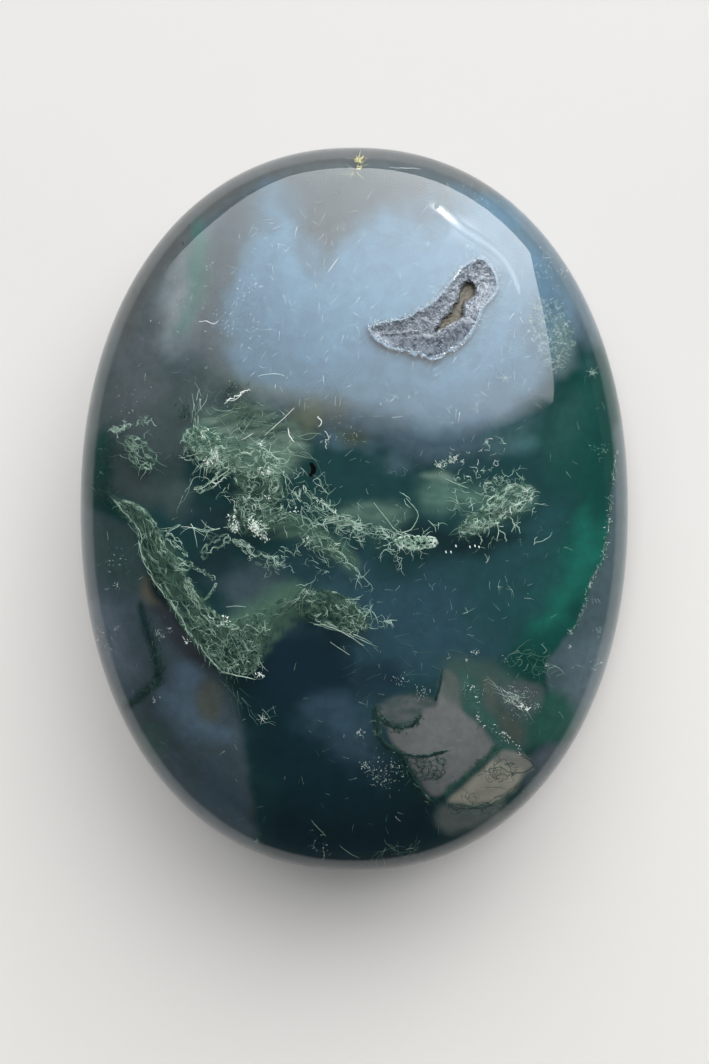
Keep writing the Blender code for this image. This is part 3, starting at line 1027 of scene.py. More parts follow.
    def thread(self, guide, depth, radius, pale, wobble=0.35):
        """Adds one strand that follows a line."""
        line = smoothed(guide, 4, closed=False)
        line = line + self.draw.normal(0, wobble, line.shape)
        along = np.linspace(0, 1, len(line))
        thick = radius * (0.55 + 0.45 * np.sin(math.pi * along) + self.draw.uniform(-0.2, 0.2, len(line)))
        self.add(line[None], depth, thick[None], pale)

    def specks(self, places, size, radius, depth, pale):
        """Adds a short thick grain at each place."""
        draw, count = self.draw, len(places)
        lines = strokes(draw, places, draw.uniform(0, math.tau, count), draw.uniform(*size, count), 0.5, 3)
        swell = np.array((0.5, 1.0, 0.4))
        thick = (radius[0] + (radius[1] - radius[0]) * draw.uniform(0, 1, (count, 1)) ** 2) * swell
        self.add(lines, draw.uniform(*depth, (count, 1)), thick, draw.uniform(*pale, (count, 1)))

    def build(self, name, finish):
        points, faces, tones, count = [], [], [], 0
        for lines, depth, radius, pale in self.groups:
            strands, steps = lines.shape[:2]
            middle = inside(lines.reshape(-1, 2), depth.ravel())
            out = outward(middle).reshape(strands, steps, 3)
            middle = middle.reshape(strands, steps, 3)
            way = np.gradient(middle, axis=1)
            way /= np.maximum(np.linalg.norm(way, axis=2, keepdims=True), 1e-9)
            side = np.cross(way, out)
            side /= np.maximum(np.linalg.norm(side, axis=2, keepdims=True), 1e-9)
            over = np.cross(side, way)
            for angle in (math.pi / 2, math.pi * 7 / 6, math.pi * 11 / 6):
                offset = math.cos(angle) * side + math.sin(angle) * over
                points.append((middle + radius[..., None] * offset).reshape(-1, 3))
                tones.append(pale.ravel())
            total = strands * steps
            first = (np.arange(strands)[:, None] * steps + np.arange(steps - 1)).ravel() + count
            for index in range(3):
                lower, upper = first + index * total, first + (index + 1) % 3 * total
                faces += np.column_stack((lower, upper, upper + 1, lower + 1)).tolist()
            ends = np.arange(strands) * steps + count
            faces += np.column_stack((ends, ends + 2 * total, ends + total)).tolist()
            ends = ends + steps - 1
            faces += np.column_stack((ends, ends + total, ends + 2 * total)).tolist()
            count += 3 * total
        piece = add_mesh(name, np.vstack(points), faces, finish)
        keep_number(piece, "pale", np.concatenate(tones))
        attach(piece, "root")


def strokes(draw, starts, headings, lengths, curl, steps):
    """Lines that wander off from their starts, in pixels, bending at random by about the curl."""
    bends = draw.normal(0, CURL_SPREAD * curl, (len(starts), steps))
    bends[:, 0] = 0
    for step in range(1, steps):
        bends[:, step] += CURL_KEPT * bends[:, step - 1]
    angles = np.asarray(headings)[:, None] + np.cumsum(bends, axis=1)
    stride = (np.asarray(lengths) / (steps - 1))[:, None]
    moves = np.stack((np.cos(angles) * stride, np.sin(angles) * stride), axis=-1)
    return np.asarray(starts)[:, None] + np.cumsum(moves, axis=1) - moves[:, :1]


def spread_along(draw, guide, count, spread):
    """Places about a guide line and the line's heading there. The spread may change along the line."""
    line = smoothed(guide, 6, closed=False)
    sides = np.diff(line, axis=0)
    reach = np.linalg.norm(sides, axis=1)
    index = draw.choice(len(reach), count, p=reach / reach.sum())
    share = draw.uniform(0, 1, count)
    places = line[index] + sides[index] * share[:, None]
    normal = np.column_stack((-sides[:, 1], sides[:, 0])) / reach[:, None]
    width = np.interp((index + share) / len(reach), np.linspace(0, 1, np.size(spread)),
                      np.atleast_1d(spread))
    places = places + normal[index] * (draw.normal(0, 0.5, count) * width)[:, None]
    return places, np.arctan2(sides[index, 1], sides[index, 0])


def places_at(wanted, marks, line):
    """The places along a line at the wanted marks, where each of its points has a mark of its own."""
    return np.column_stack([np.interp(wanted, marks, line[:, axis]) for axis in (0, 1)])


def evenly(guide, count):
    """A line of that many evenly spaced points."""
    line = smoothed(guide, 6, closed=False)
    reach = np.append(0, np.cumsum(np.linalg.norm(np.diff(line, axis=0), axis=1)))
    return places_at(np.linspace(0, reach[-1], count), reach, line)


def cells(outline, spacing, seed):
    """The middles of the triangles of a net that fills an outline, and which of them are neighbours."""
    points, faces = filled(outline, spacing, seed, edge_share=0.3)
    middles = np.array([points[list(face)].mean(axis=0) for face in faces])
    owner, pairs = {}, []
    for index, face in enumerate(faces):
        for a, b in zip(face, face[1:] + face[:1]):
            if (b, a) in owner:
                pairs.append((owner[b, a], index))
            owner[a, b] = index
    return middles, np.array(pairs)


def places_within(draw, outline, count):
    outline = smoothed(outline, 4)
    low, high = outline.min(axis=0), outline.max(axis=0)
    found = draw.uniform(low, high, (count * 4, 2))
    return found[distance_to_patch(found, outline) < 0][:count]


def moss_finish():
    """Moss from black over deep green and pale green to white, as kept in pale: -1, 0, 0.5, 1 and 1.5."""
    finish = Finish("moss")
    pale = finish.attribute("pale")
    tone = finish.mix(finish.between(pale, -1.0, 0.0), (0.001, 0.001, 0.001), (0.004, 0.033, 0.029))
    tone = finish.mix(finish.between(pale, 0.0, 0.5), tone, (0.092, 0.182, 0.130))
    tone = finish.mix(finish.between(pale, 0.5, 1.0), tone, (0.465, 0.655, 0.545))
    tone = finish.mix(finish.between(pale, 1.0, 1.5), tone, (0.96, 0.99, 0.98))
    return finish.surface(Base_Color=tone, Roughness=0.6, Specular_IOR_Level=0.2)


def moss_left(finish):
    """The growth on the left: its crown, trunk and arms."""
    thin, fine, bold = (0.016, 0.034), (0.022, 0.050), (0.034, 0.066)
    near, middle, deep = (0.2, 0.7), (0.5, 1.2), (1.0, 2.0)
    moss = Strands(31, near, thin)
    # its outliers at the left
    moss.mat(((124, 440), (134, 436), (148, 444), (157, 456), (154, 468), (142, 470), (128, 458)), 5,
             1.6, 0.6, 3, (0.35, 0.85), depth=middle, radius=fine)
    moss.along(((126, 440), (140, 452), (154, 464)), 50, 16, 0.4, (9, 18), 0.3, (0.45, 0.85), steps=9)
    moss.along(((112, 434), (120, 428), (128, 425)), 30, 5, 1.0, (3, 8), 0.5, (0.6, 1.15), forks=1,
               radius=fine)
    moss.along(((138, 424), (144, 420), (150, 421)), 14, 4, 0.8, (3, 8), 0.5, (0.6, 1.0), forks=1,
               radius=fine)
    # crown
    moss.along(((200, 396), (197, 408), (194, 420)), 26, 5, 0.25, (12, 24), 0.15, (0.5, 0.95), steps=8)
    moss.mat(((182, 436), (196, 424), (214, 430), (222, 446), (214, 462), (200, 462), (190, 450)), 6,
             1.2, 0.8, 3, (0.35, 1.0), radius=fine)
    moss.mat(((216, 446), (240, 446), (262, 448), (280, 460), (284, 476), (262, 480), (238, 474),
              (214, 470)), 7, 1.6, 0.1, 3, (0.35, 1.05), radius=fine)
    moss.mat(((184, 434), (214, 432), (262, 446), (284, 470), (262, 484), (214, 474), (190, 462)), 5,
             1.3, 0.2, 1, (0.3, 0.7), depth=middle, radius=bold)
    moss.mat(((186, 436), (196, 426), (212, 432), (218, 446), (206, 456), (192, 450)), 3.5, 1.2, 0.9, 3,
             (0.5, 1.1), loose=0.8, lost=0.2)
    moss.along(((180, 448), (188, 436), (200, 428)), 26, 5, 0.5, (5, 12), 0.2, (0.5, 1.05))
    moss.along(((200, 470), (216, 456), (228, 452)), 24, 10, 0.5, (7, 16), 0.28, (0.7, 1.35), forks=1,
               steps=8)
    for offset in (0, 5, 10, 15):
        moss.along(((206, 466 + offset), (222, 457 + offset), (246, 450 + offset), (268, 453 + offset),
                    (282, 466 + offset)), 18, 5, 0.35, (8, 20), 0.30, (0.6, 1.25), forks=1, steps=9)
    moss.along(((190, 440), (204, 448), (216, 462)), 34, 16, 1.2, (6, 14), 0.4, (0.6, 1.2), forks=1)
    moss.along(((214, 404), (240, 398), (268, 404)), 20, 20, 0.7, (8, 18), 0.3, (0.3, 0.6), steps=8,
               depth=middle)
    olive = ((208, 410), (232, 402), (262, 402), (286, 414), (304, 432), (300, 456), (282, 460),
             (258, 446), (218, 442))
    moss.within(olive, 120, -0.3, 0.5, (12, 30), 0.2, (0.45, 0.75), steps=9, gaps=-0.1, depth=deep,
                radius=(0.02, 0.05))
    moss.within(olive, 60, -0.35, 0.6, (5, 14), 0.3, (0.6, 1.1), steps=8, gaps=0.0, radius=(0.010, 0.022))
    moss.web(((193, 488), (206, 482), (220, 470), (230, 466)),
             ((196, 493), (210, 490), (226, 478), (238, 470)), 4, 2, 2, (0.5, 1.1), radius=fine)
    moss.along(((203, 466), (196, 476), (188, 490), (180, 500)), 10, 3, 0.2, (12, 22), 0.2, (0.5, 0.9),
               steps=9)
    # trunk
    trunk = ((234, 470), (262, 474), (280, 480), (286, 498), (280, 516), (262, 536), (240, 534),
             (228, 524), (234, 508), (240, 492))
    moss.mat(trunk, 7.5, 1.4, 1.3, 3, (0.45, 1.2), loose=1.2, lost=0.45)
    moss.mat(trunk, 6, 1.2, 1.0, 2, (0.2, 0.65), loose=0.8, lost=0.35, depth=middle, radius=bold)
    moss.along(((250, 476), (258, 496), (252, 516)), 80, 40, 1.4, (6, 16), 0.45, (0.5, 1.2), forks=1)
    # arms
    moss.web(((302, 482), (320, 500), (342, 516), (368, 532)),
             ((290, 488), (308, 518), (334, 536), (366, 542)), 8, 1.9, 3, (0.55, 1.25), loose=0.9,
             lost=0.32)
    moss.along(((300, 486), (318, 506), (340, 524), (364, 536)), 44, 22, 0.5, (8, 20), 0.35, (0.6, 1.2),
               forks=1, steps=9)
    moss.web(((258, 516), (290, 508), (322, 528), (346, 546), (362, 568)),
             ((256, 530), (284, 526), (308, 544), (332, 558), (354, 574)), 6, 2.0, 2, (0.4, 1.05),
             loose=0.8, lost=0.38)
    moss.web(((260, 518), (290, 512), (320, 532), (344, 548)),
             ((260, 528), (286, 524), (310, 540), (336, 554)), 4, 2.2, 2, (0.2, 0.55), depth=middle,
             radius=bold)
    moss.along(((300, 540), (322, 552), (350, 568)), 30, 12, 0.4, (8, 18), 0.3, (0.6, 1.15), forks=1,
               steps=9)
    moss.along(((286, 500), (306, 520), (334, 540)), 24, 20, 0.8, (8, 18), 0.5, (0.5, 1.15), forks=1,
               steps=9)
    moss.along(((344, 556), (356, 570), (366, 582)), 8, 3, 0.2, (12, 22), 0.3, (0.7, 1.1), forks=1,
               steps=9)
    moss.along(((276, 556), (300, 562), (330, 572)), 20, 14, 0.5, (6, 13), 0.4, (0.5, 1.0), forks=1,
               steps=8)
    # twigs
    moss.along(((176, 527), (187, 523), (196, 528), (212, 529), (232, 528)), 12, 1.6, 0.2, (14, 26), 0.2,
               (0.6, 1.05), forks=2, steps=9, radius=fine)
    moss.web(((230, 532), (212, 538), (199, 552)), ((232, 542), (217, 551), (203, 562)), 5, 1.6, 3,
             (0.45, 1.0))
    moss.web(((232, 536), (250, 544), (268, 556), (290, 566)),
             ((232, 543), (246, 554), (262, 568), (280, 576)), 5, 2, 3, (0.55, 1.15), loose=0.7,
             lost=0.25)
    moss.along(((250, 552), (268, 562), (286, 568)), 26, 10, 0.8, (7, 15), 0.5, (0.6, 1.15), forks=1,
               steps=9)
    knots = ((254, 525, 3.0, 110), (259, 531, 2.6, 60), (265, 538, 2.2, 24), (235, 527, 2.6, 50),
             (232, 518, 2.0, 22), (215, 456, 2.4, 60), (208, 463, 2.0, 30), (268, 472, 2.0, 24),
             (205, 434, 2.4, 16), (262, 472, 1.8, 10), (306, 541, 2.0, 12), (262, 446, 2.4, 8),
             (268, 498, 2.0, 8), (250, 496, 2.0, 8), (318, 502, 1.6, 8), (334, 512, 1.6, 8),
             (296, 510, 2.0, 8))
    for x, y, spread, count in knots:
        places = np.array((x, y), float) + moss.draw.normal(0, spread, (count, 2))
        moss.specks(places, (0.8, 3.0), (0.02, 0.08), (0.15, 0.4), (1.0, 1.6))
    moss.thread(((193, 490), (202, 488), (210, 483), (217, 478), (229, 470)), 0.2, 0.045, 1.15)
    moss.thread(((224, 404), (232, 398), (242, 393), (250, 389)), 0.15, 0.06, 1.4, wobble=0.9)
    moss.thread(((226, 401), (236, 399), (244, 392)), 0.15, 0.04, 1.3, wobble=0.9)
    moss.build("moss_left", finish)


def moss_lower(finish):
    """The long plume at the lower left, and the brush that it ends in."""
    thin, fine, bold = (0.016, 0.034), (0.022, 0.048), (0.034, 0.070)
    near, middle = (0.25, 0.8), (0.6, 1.4)
    moss = Strands(32, near, thin)
    edge = ((114, 500), (124, 511), (130, 521), (139, 533), (139, 545), (142, 559), (148, 570), (153, 580),
            (170, 601), (184, 625), (193, 639), (205, 655), (221, 672))
    inner = ((122, 499), (140, 507), (151, 517), (161, 531), (167, 548), (178, 564), (190, 582),
             (203, 604), (224, 622), (246, 640), (262, 660))
    middle_line = [((x0 + x1) / 2, (y0 + y1) / 2) for (x0, y0), (x1, y1) in zip(edge, inner)]
    moss.web(edge, inner, 5.5, 3.2, 3, (0.25, 0.85), loose=0.7, lost=0.35)
    moss.web(edge, inner, 4, 3.0, 2, (0.15, 0.55), lost=0.35, depth=middle, radius=bold)
    moss.web([(x - 1, y) for x, y in edge], [(x + 3, y + 1) for x, y in edge], 3, 3, 2, (0.5, 1.0),
             lost=0.4)
    moss.along([(x - 1, y) for x, y in edge], 70, 2.5, 0.5, (3, 8), 0.25, (0.5, 1.0), steps=5)
    moss.web([(x - 5, y + 3) for x, y in inner[:8]], inner[:8], 3.5, 2.2, 3, (0.45, 1.0), lost=0.2)
    moss.along(middle_line, 60, 16, 0.25, (12, 30), 0.14, (0.2, 0.5), steps=9, depth=middle, radius=fine)
    moss.web(((164, 529), (176, 536), (189, 554)), ((164, 539), (174, 547), (188, 558)), 4, 2, 2,
             (0.5, 1.05))
    moss.web(((152, 526), (164, 544), (176, 556), (194, 562)),
             ((148, 536), (160, 556), (174, 568), (192, 574)), 5, 1.6, 3, (0.45, 1.05))
    loop = ((190, 563), (206, 571), (217, 580), (212, 593), (201, 603))
    moss.web(loop, [(x - 4, y + 3) for x, y in loop], 3.5, 1.8, 2, (0.45, 1.0), loose=0.7, lost=0.3)
    moss.web(((188, 575), (196, 590), (210, 606), (224, 618), (240, 620)),
             ((182, 582), (192, 602), (204, 618), (220, 630), (240, 630)), 5, 1.8, 3, (0.5, 1.15))
    brush = ((187, 622), (206, 622), (236, 628), (260, 620), (272, 624), (264, 646), (256, 672),
             (240, 676), (222, 672), (204, 652))
    moss.mat(brush, 5.5, 1.8, 0.85, 3, (0.25, 0.75), loose=0.8, lost=0.35)
    moss.mat(brush, 4, 1.4, -0.7, 1, (0.3, 0.9), loose=0.8, lost=0.4)
    moss.mat(brush, 4, 1.2, 0.8, 1, (0.05, 0.45), loose=0.8, lost=0.3, depth=middle, radius=bold)
    moss.within(brush, 110, 0.85, 0.3, (7, 18), 0.14, (0.4, 0.95), forks=1, steps=8)
    moss.within(brush, 80, -0.75, 0.5, (4, 10), 0.35, (0.45, 1.1), forks=1)
    haze = ((232, 622), (252, 612), (280, 600), (300, 594), (296, 604), (276, 618), (250, 630))
    moss.mat(haze, 5, 2.4, -0.35, 2, (0.2, 0.45), loose=1.0, lost=0.3, depth=middle, radius=bold)
    moss.within(haze, 60, -0.4, 0.2, (14, 30), 0.1, (0.3, 0.55), steps=9, depth=middle)
    green = ((292, 600), (304, 590), (328, 590), (348, 598), (364, 614), (366, 630), (344, 630),
             (316, 622), (300, 614))
    moss.mat(green, 5, 1.6, 0.5, 3, (0.15, 0.8), loose=0.8, lost=0.25, radius=fine)
    moss.mat(green, 4, 1.4, 0.4, 2, (0.05, 0.4), loose=0.8, lost=0.3, depth=middle, radius=bold)
    moss.along(((298, 597), (310, 588), (306, 596), (300, 604)), 24, 8, 0.8, (8, 16), 0.5, (0.5, 1.0),
               steps=9)
    moss.along(((314, 623), (334, 627), (362, 640)), 30, 4, 0.1, (10, 26), 0.05, (0.6, 1.1), steps=8)
    moss.along(((344, 604), (358, 616), (368, 630)), 40, 14, 0.7, (6, 14), 0.4, (0.6, 1.15), forks=1)
    moss.along(((388, 621), (378, 621), (371, 614), (371, 602)), 12, 2, 0.4, (8, 15), 0.35, (0.6, 1.1),
               forks=1, radius=fine)
    for first in range(0, 11, 2):
        shift = moss.draw.uniform(-0.8, 1.6)
        moss.thread([(x + shift, y) for x, y in edge[first:first + 3]], 0.2, 0.026, 0.95, wobble=0.8)
    moss.thread(((222, 672), (238, 676), (257, 680)), 0.3, 0.04, 0.95)
    moss.thread(((320, 624), (338, 630), (352, 638), (364, 646)), 0.2, 0.028, 1.2, wobble=0.1)
    moss.thread(((330, 642), (342, 650), (350, 655)), 0.2, 0.020, 1.1, wobble=0.1)
    moss.thread(((226, 607), (236, 606), (246, 607)), 0.2, 0.022, 1.0, wobble=0.1)
    moss.thread(((139, 542), (141, 552), (142, 561)), 0.2, 0.03, 1.0, wobble=0.4)
    for x, y, count in ((221, 624, 8), (228, 622, 8), (225, 617, 6), (261, 675, 12), (258, 674, 8),
                        (187, 640, 8)):
        moss.specks(np.array((x, y), float) + moss.draw.normal(0, 1.4, (count, 2)), (1.0, 3.0),
                    (0.03, 0.08), (0.2, 0.4), (1.0, 1.6))
    moss.build("moss_lower", finish)


def moss_right(finish):
    """The arm across the middle, and the plume and fine tufts right of it."""
    thin, fine, bold = (0.014, 0.032), (0.022, 0.050), (0.034, 0.066)
    near, middle = (0.2, 0.7), (0.5, 1.2)
    moss = Strands(33, near, thin)
    moss.web(((338, 518), (362, 522), (390, 529), (412, 535), (436, 536)),
             ((342, 526), (362, 532), (388, 540), (412, 549), (434, 548)), 5, 1.8, 3, (0.6, 1.3),
             loose=0.7, lost=0.25)
    moss.mat(((396, 538), (412, 535), (434, 537), (436, 546), (416, 550), (398, 547)), 3.5, 1.3, 0.1, 3,
             (0.75, 1.35), radius=fine)
    moss.along(((344, 524), (370, 530), (396, 538)), 50, 14, 0.9, (6, 14), 0.5, (0.6, 1.2), forks=1,
               steps=9)
    moss.along(((384, 548), (400, 554), (418, 550)), 24, 7, 1.2, (8, 18), 0.5, (0.7, 1.25), forks=1,
               steps=9)
    moss.along(((424, 534), (436, 528), (440, 522)), 8, 3, 0.5, (6, 12), 0.3, (0.8, 1.2))
    for offset in (-3, 1, 5):
        moss.along(((316, 522 + offset), (334, 518 + offset), (352, 524 + offset), (372, 530 + offset)),
                   8, 2, 0.15, (14, 26), 0.15, (0.6, 1.1), steps=9)
    body = ((457, 533), (464, 520), (480, 508), (500, 490), (524, 484), (537, 490), (530, 504), (510, 518),
            (494, 526), (478, 534))
    moss.mat(body, 5.5, 1.6, -0.55, 4, (0.55, 1.25), loose=0.8, lost=0.3)
    moss.mat(body, 4, 1.4, -0.5, 2, (0.35, 0.7), loose=0.8, lost=0.3, depth=middle, radius=bold)
    moss.along(((462, 530), (478, 527), (492, 515), (510, 505), (532, 495)), 50, 8, 0.4, (7, 16), 0.35,
               (0.8, 1.3), steps=8)
    moss.along(((460, 532), (478, 520), (498, 506), (530, 492)), 50, 30, 0.8, (6, 15), 0.4, (0.6, 1.25),
               forks=1)
    moss.along(((490, 486), (508, 481), (528, 486)), 30, 7, 1.0, (5, 13), 0.5, (0.5, 1.1), forks=1)
    feet = (
        ((496, 518), (499, 530), (497, 541)), ((499, 530), (504, 534), (506, 541)),
        ((510, 516), (514, 524), (512, 532)), ((514, 524), (519, 528), (520, 534)),
        ((478, 534), (482, 540), (480, 545)),
    )
    for guide in feet:
        moss.thread(guide, 0.3, 0.04, 1.1, wobble=0.5)
    moss.along(((452, 481), (468, 488), (483, 495)), 12, 2, 0.08, (12, 24), 0.08, (0.6, 1.0), steps=8)
    moss.along(((454, 500), (464, 504), (474, 512)), 14, 4, 0.6, (8, 16), 0.35, (0.6, 1.1))
    moss.along(((436, 466), (448, 460), (462, 454), (482, 446), (504, 441)), 90, 6, 1.0, (2, 8), 0.7,
               (0.7, 1.4), steps=6, gaps=0.0)
    moss.along(((438, 467), (446, 464), (456, 458)), 44, 4, 1.2, (2, 5), 0.7, (0.9, 1.5))
    moss.along(((455, 472), (468, 478), (478, 474), (500, 484)), 70, 14, 1.1, (3, 9), 0.7, (0.7, 1.3),
               gaps=0.0)
    moss.along(((482, 488), (496, 480), (506, 486)), 24, 8, 1.0, (4, 10), 0.6, (0.7, 1.3), forks=1)
    moss.thread(((374, 503), (385, 517), (392, 526), (399, 532), (408, 531), (414, 526), (418, 517),
                 (417, 511), (412, 505), (406, 498)), 0.25, 0.034, 1.0, wobble=0.25)
    moss.thread(((400, 492), (405, 495), (411, 500)), 0.2, 0.03, 1.0, wobble=0.2)
    moss.thread(((404, 499), (406, 504), (411, 508)), 0.2, 0.03, 1.0, wobble=0.2)
    moss.thread(((428, 520), (434, 526), (436, 532)), 0.3, 0.03, 0.9, wobble=0.2)
    moss.thread(((534, 545), (536, 542), (542, 541), (549, 537), (552, 532)), 0.2, 0.022, 1.1, wobble=0.3)
    moss.thread(((534, 545), (535, 539), (537, 537)), 0.2, 0.022, 1.2, wobble=0.2)
    for x, y in ((446, 552), (451, 552), (456, 546), (470, 547), (475, 546), (479, 547)):
        moss.thread(((x - 0.3, y - 1.2), (x, y), (x + 0.3, y + 1.2)), 0.2, 0.07, 1.5, wobble=0.0)
    moss.build("moss_right", finish)


def dark_growth(finish):
    """The dark green growths, most of them seen against the pale window at the lower right."""
    thin, fine = (0.016, 0.034), (0.028, 0.058)
    near, middle = (0.3, 0.9), (0.6, 1.6)
    growth = Strands(34, near, thin)
    dark, green = (-0.15, 0.12), (0.1, 0.45)
    stem = ((376, 705), (378, 731), (388, 746), (402, 755), (409, 768), (416, 782), (424, 794), (434, 804))
    lobe_band = ((380, 716), (386, 724), (396, 727), (406, 727), (415, 723), (421, 714))
    branch = ((396, 752), (410, 756), (424, 757), (437, 754), (448, 751))
    growth.web(stem, [(x - 4, y + 2) for x, y in stem], 3, 1.5, 2, dark, radius=fine)
    for guide, radius, count in ((stem, 0.13, 5), (branch, 0.10, 4), (lobe_band, 0.09, 3)):
        for _ in range(count):
            growth.thread(guide, 0.5, radius, growth.draw.uniform(-0.1, 0.12), wobble=0.8)
    growth.along(stem, 110, (3, 3, 3, 2, 2, 2, 3, 6), 0.5, (3, 7), 0.4, dark, gaps=-1.0, radius=fine)
    growth.along(lobe_band, 150, (3, 5, 6, 5, 3), 1.2, (2, 5), 0.5, (-0.1, 0.3), forks=1, steps=5,
                 gaps=-1.0, radius=fine)
    growth.along(branch, 60, (3, 2.5, 2, 1), 0.2, (3, 8), 0.2, dark, gaps=-1.0, radius=fine)
    lace = ((404, 757), (424, 760), (444, 757), (446, 768), (442, 778), (428, 781), (416, 781))
    growth.mat(lace, 4.6, 1.2, 0.3, 2, (-0.1, 0.12), loose=0.7, lost=0.2, radius=(0.024, 0.048))
    growth.within(lace, 46, 0.3, 1.6, (5, 11), 0.7, (-0.05, 0.2), forks=1, steps=8, gaps=-1.0,
                  radius=(0.018, 0.036))
    growth.along(((464, 676), (473, 704), (484, 724), (500, 742)), 80, (8, 10, 10, 8), 0.7, (4, 10), 0.5,
                 green)
    for line in (((512, 749), (522, 756), (533, 763)), ((524, 757), (534, 765), (527, 771)),
                 ((534, 765), (526, 772), (514, 772))):
        growth.thread(line, 0.4, 0.045, 0.05, wobble=0.5)
    growth.along(((502, 747), (488, 757), (474, 769), (460, 779), (448, 793)), 120, (7, 4, 3, 4, 4), 1.0,
                 (2, 6), 0.5, (0.05, 0.35), forks=1, steps=5, gaps=-0.4)
    curls = ((480, 762), (494, 760), (512, 762), (518, 768), (508, 778), (492, 780))
    growth.mat(curls, 7.5, 1.3, 0.0, 1, (-0.1, 0.12), loose=1.2, lost=0.3, radius=(0.026, 0.046))
    growth.within(curls, 26, 0.1, 1.0, (8, 18), 0.55, dark, steps=12, gaps=-1.0, radius=(0.020, 0.038))
    growth.thread(((478, 776), (486, 772), (494, 768), (502, 768), (510, 772), (522, 773), (528, 770)),
                  0.4, 0.04, 0.1, wobble=0.6)
    growth.thread(((484, 788), (492, 787), (500, 788), (506, 789)), 0.4, 0.030, 0.1, wobble=0.4)
    for start in range(4):
        growth.thread(((448, 803 + start), (470, 806 + start), (490, 804 + start), (508, 795 + 3 * start),
                       (524, 781 + 4 * start), (538, 768 + 4 * start)), 0.4, 0.042, 0.0, wobble=1.1)
    growth.web(((446, 802), (470, 803), (496, 798), (514, 788), (530, 774)),
               ((446, 814), (474, 816), (506, 810), (528, 797), (546, 780)), 5, 3.2, 2, (-0.1, 0.15),
               radius=(0.02, 0.04))
    growth.along(((464, 798), (471, 793), (478, 800)), 12, 6, 1.0, (6, 12), 0.6, dark, steps=9, gaps=-1.0)
    for _ in range(3):
        growth.thread(((442, 668), (440, 684), (436, 700)), 0.5, 0.12, 0.0, wobble=0.5)
    growth.along(((162, 678), (152, 688), (140, 698), (127, 707)), 90, 3, 0.4, (4, 9), 0.5, dark,
                 forks=1, gaps=-1.0, radius=fine)
    growth.along(((146, 612), (154, 640), (160, 676)), 110, 6, 0.3, (6, 14), 0.3, dark, depth=middle,
                 radius=fine)
    growth.along(((560, 676), (548, 670), (530, 660), (514, 656)), 50, 14, 0.8, (9, 20), 0.4, (0.2, 0.6),
                 steps=9)
    growth.along(((120, 438), (108, 446), (103, 470), (106, 500)), 130, 14, 0.8, (6, 14), 0.4, dark,
                 depth=middle, radius=fine)
    growth.along(((178, 412), (184, 408), (190, 414)), 40, 12, 1.2, (5, 10), 0.5, (0.05, 0.3), radius=fine)
    growth.along(((226, 388), (232, 384), (236, 390)), 30, 10, 1.2, (5, 10), 0.5, (0.05, 0.3), radius=fine)
    growth.along(((228, 680), (240, 700), (256, 716), (268, 718)), 34, 8, 0.4, (10, 22), 0.2, (0.1, 0.5),
                 steps=9, depth=middle, radius=fine)
    growth.along(((381, 858), (392, 848), (406, 852), (420, 843)), 40, 7, 0.5, (8, 18), 0.2,
                 (0.15, 0.45), steps=9, depth=middle)
    growth.along(((340, 660), (400, 650), (470, 655)), 34, 40, 0.5, (10, 26), 0.1, (0.15, 0.4), steps=8,
                 depth=middle, radius=(0.010, 0.022))
    growth.thread(((340, 846), (349, 853), (359, 858)), 0.3, 0.04, 0.6, wobble=0.2)
    growth.thread(((311, 820), (318, 828), (326, 836)), 0.3, 0.04, 0.55, wobble=0.2)
    growth.build("dark_growth", finish)


def dark_pits():
    """A few small pits in the polish, filled with dirt."""
    finish = Finish("dark_pits")
    surface = finish.surface(Base_Color=(0.001, 0.001, 0.001, 1.0), Roughness=1.0, Specular_IOR_Level=0.0)
    pits = Strands(37)
    pits.specks(np.array(((183, 243), (184, 245), (187, 247), (190, 225), (188, 227), (178, 236),
                          (336, 191), (339, 192), (503, 243))), (1.0, 2.2), (0.05, 0.09), (0.05, 0.1),
                (0, 0))
    for shift in (-0.7, 0.7):
        pits.thread(((311 + shift, 463), (313 + shift, 467), (313.5 + shift, 470), (312.5 + shift, 473),
                     (310 + shift, 476)), 0.2, 0.22, 0, wobble=0.0)
    pits.build("dark_pits", surface)


HAIR = (0.006, 0.014)
SHALLOW = (0.05, 0.4)
# The middle of each group of grains, how far it spreads and how many grains it has
GRAIN_GROUPS_PX = (
    ((593, 372), 3, 26), ((505, 378), 3, 10), ((546, 256), 5, 22), ((565, 271), 5, 26),
    ((570, 646), 2, 16), ((547, 665), 2, 12), ((571, 632), 3, 12), ((116, 585), 3, 16),
    ((107, 589), 2, 6), ((117, 629), 3, 10), ((158, 632), 3, 22), ((162, 637), 4, 16),
    ((169, 629), 3, 16), ((264, 718), 2, 16), ((155, 700), 3, 14), ((257, 841), 2, 12),
    ((320, 846), 12, 34), ((505, 660), 4, 14), ((466, 660), 3, 8), ((378, 776), 12, 90),
    ((360, 733), 4, 40), ((365, 765), 4, 40), ((400, 680), 8, 30), ((420, 693), 7, 40),
    ((520, 700), 16, 120), ((512, 698), 6, 60), ((536, 706), 4, 30), ((476, 652), 4, 24),
    ((392, 768), 14, 60), ((595, 600), 5, 16), ((600, 630), 5, 16), ((599, 664), 6, 22),
    ((104, 640), 12, 44), ((112, 560), 14, 30), ((340, 430), 16, 30), ((236, 398), 12, 36),
    ((352, 436), 6, 16), ((326, 440), 5, 16), ((482, 690), 6, 12), ((506, 738), 5, 12),
    ((550, 270), 14, 50), ((480, 205), 22, 50), ((210, 265), 8, 14), ((225, 320), 16, 40),
    ((250, 285), 14, 46), ((258, 330), 12, 26), ((180, 300), 30, 26), ((130, 400), 20, 20),
    ((600, 450), 10, 30),
)


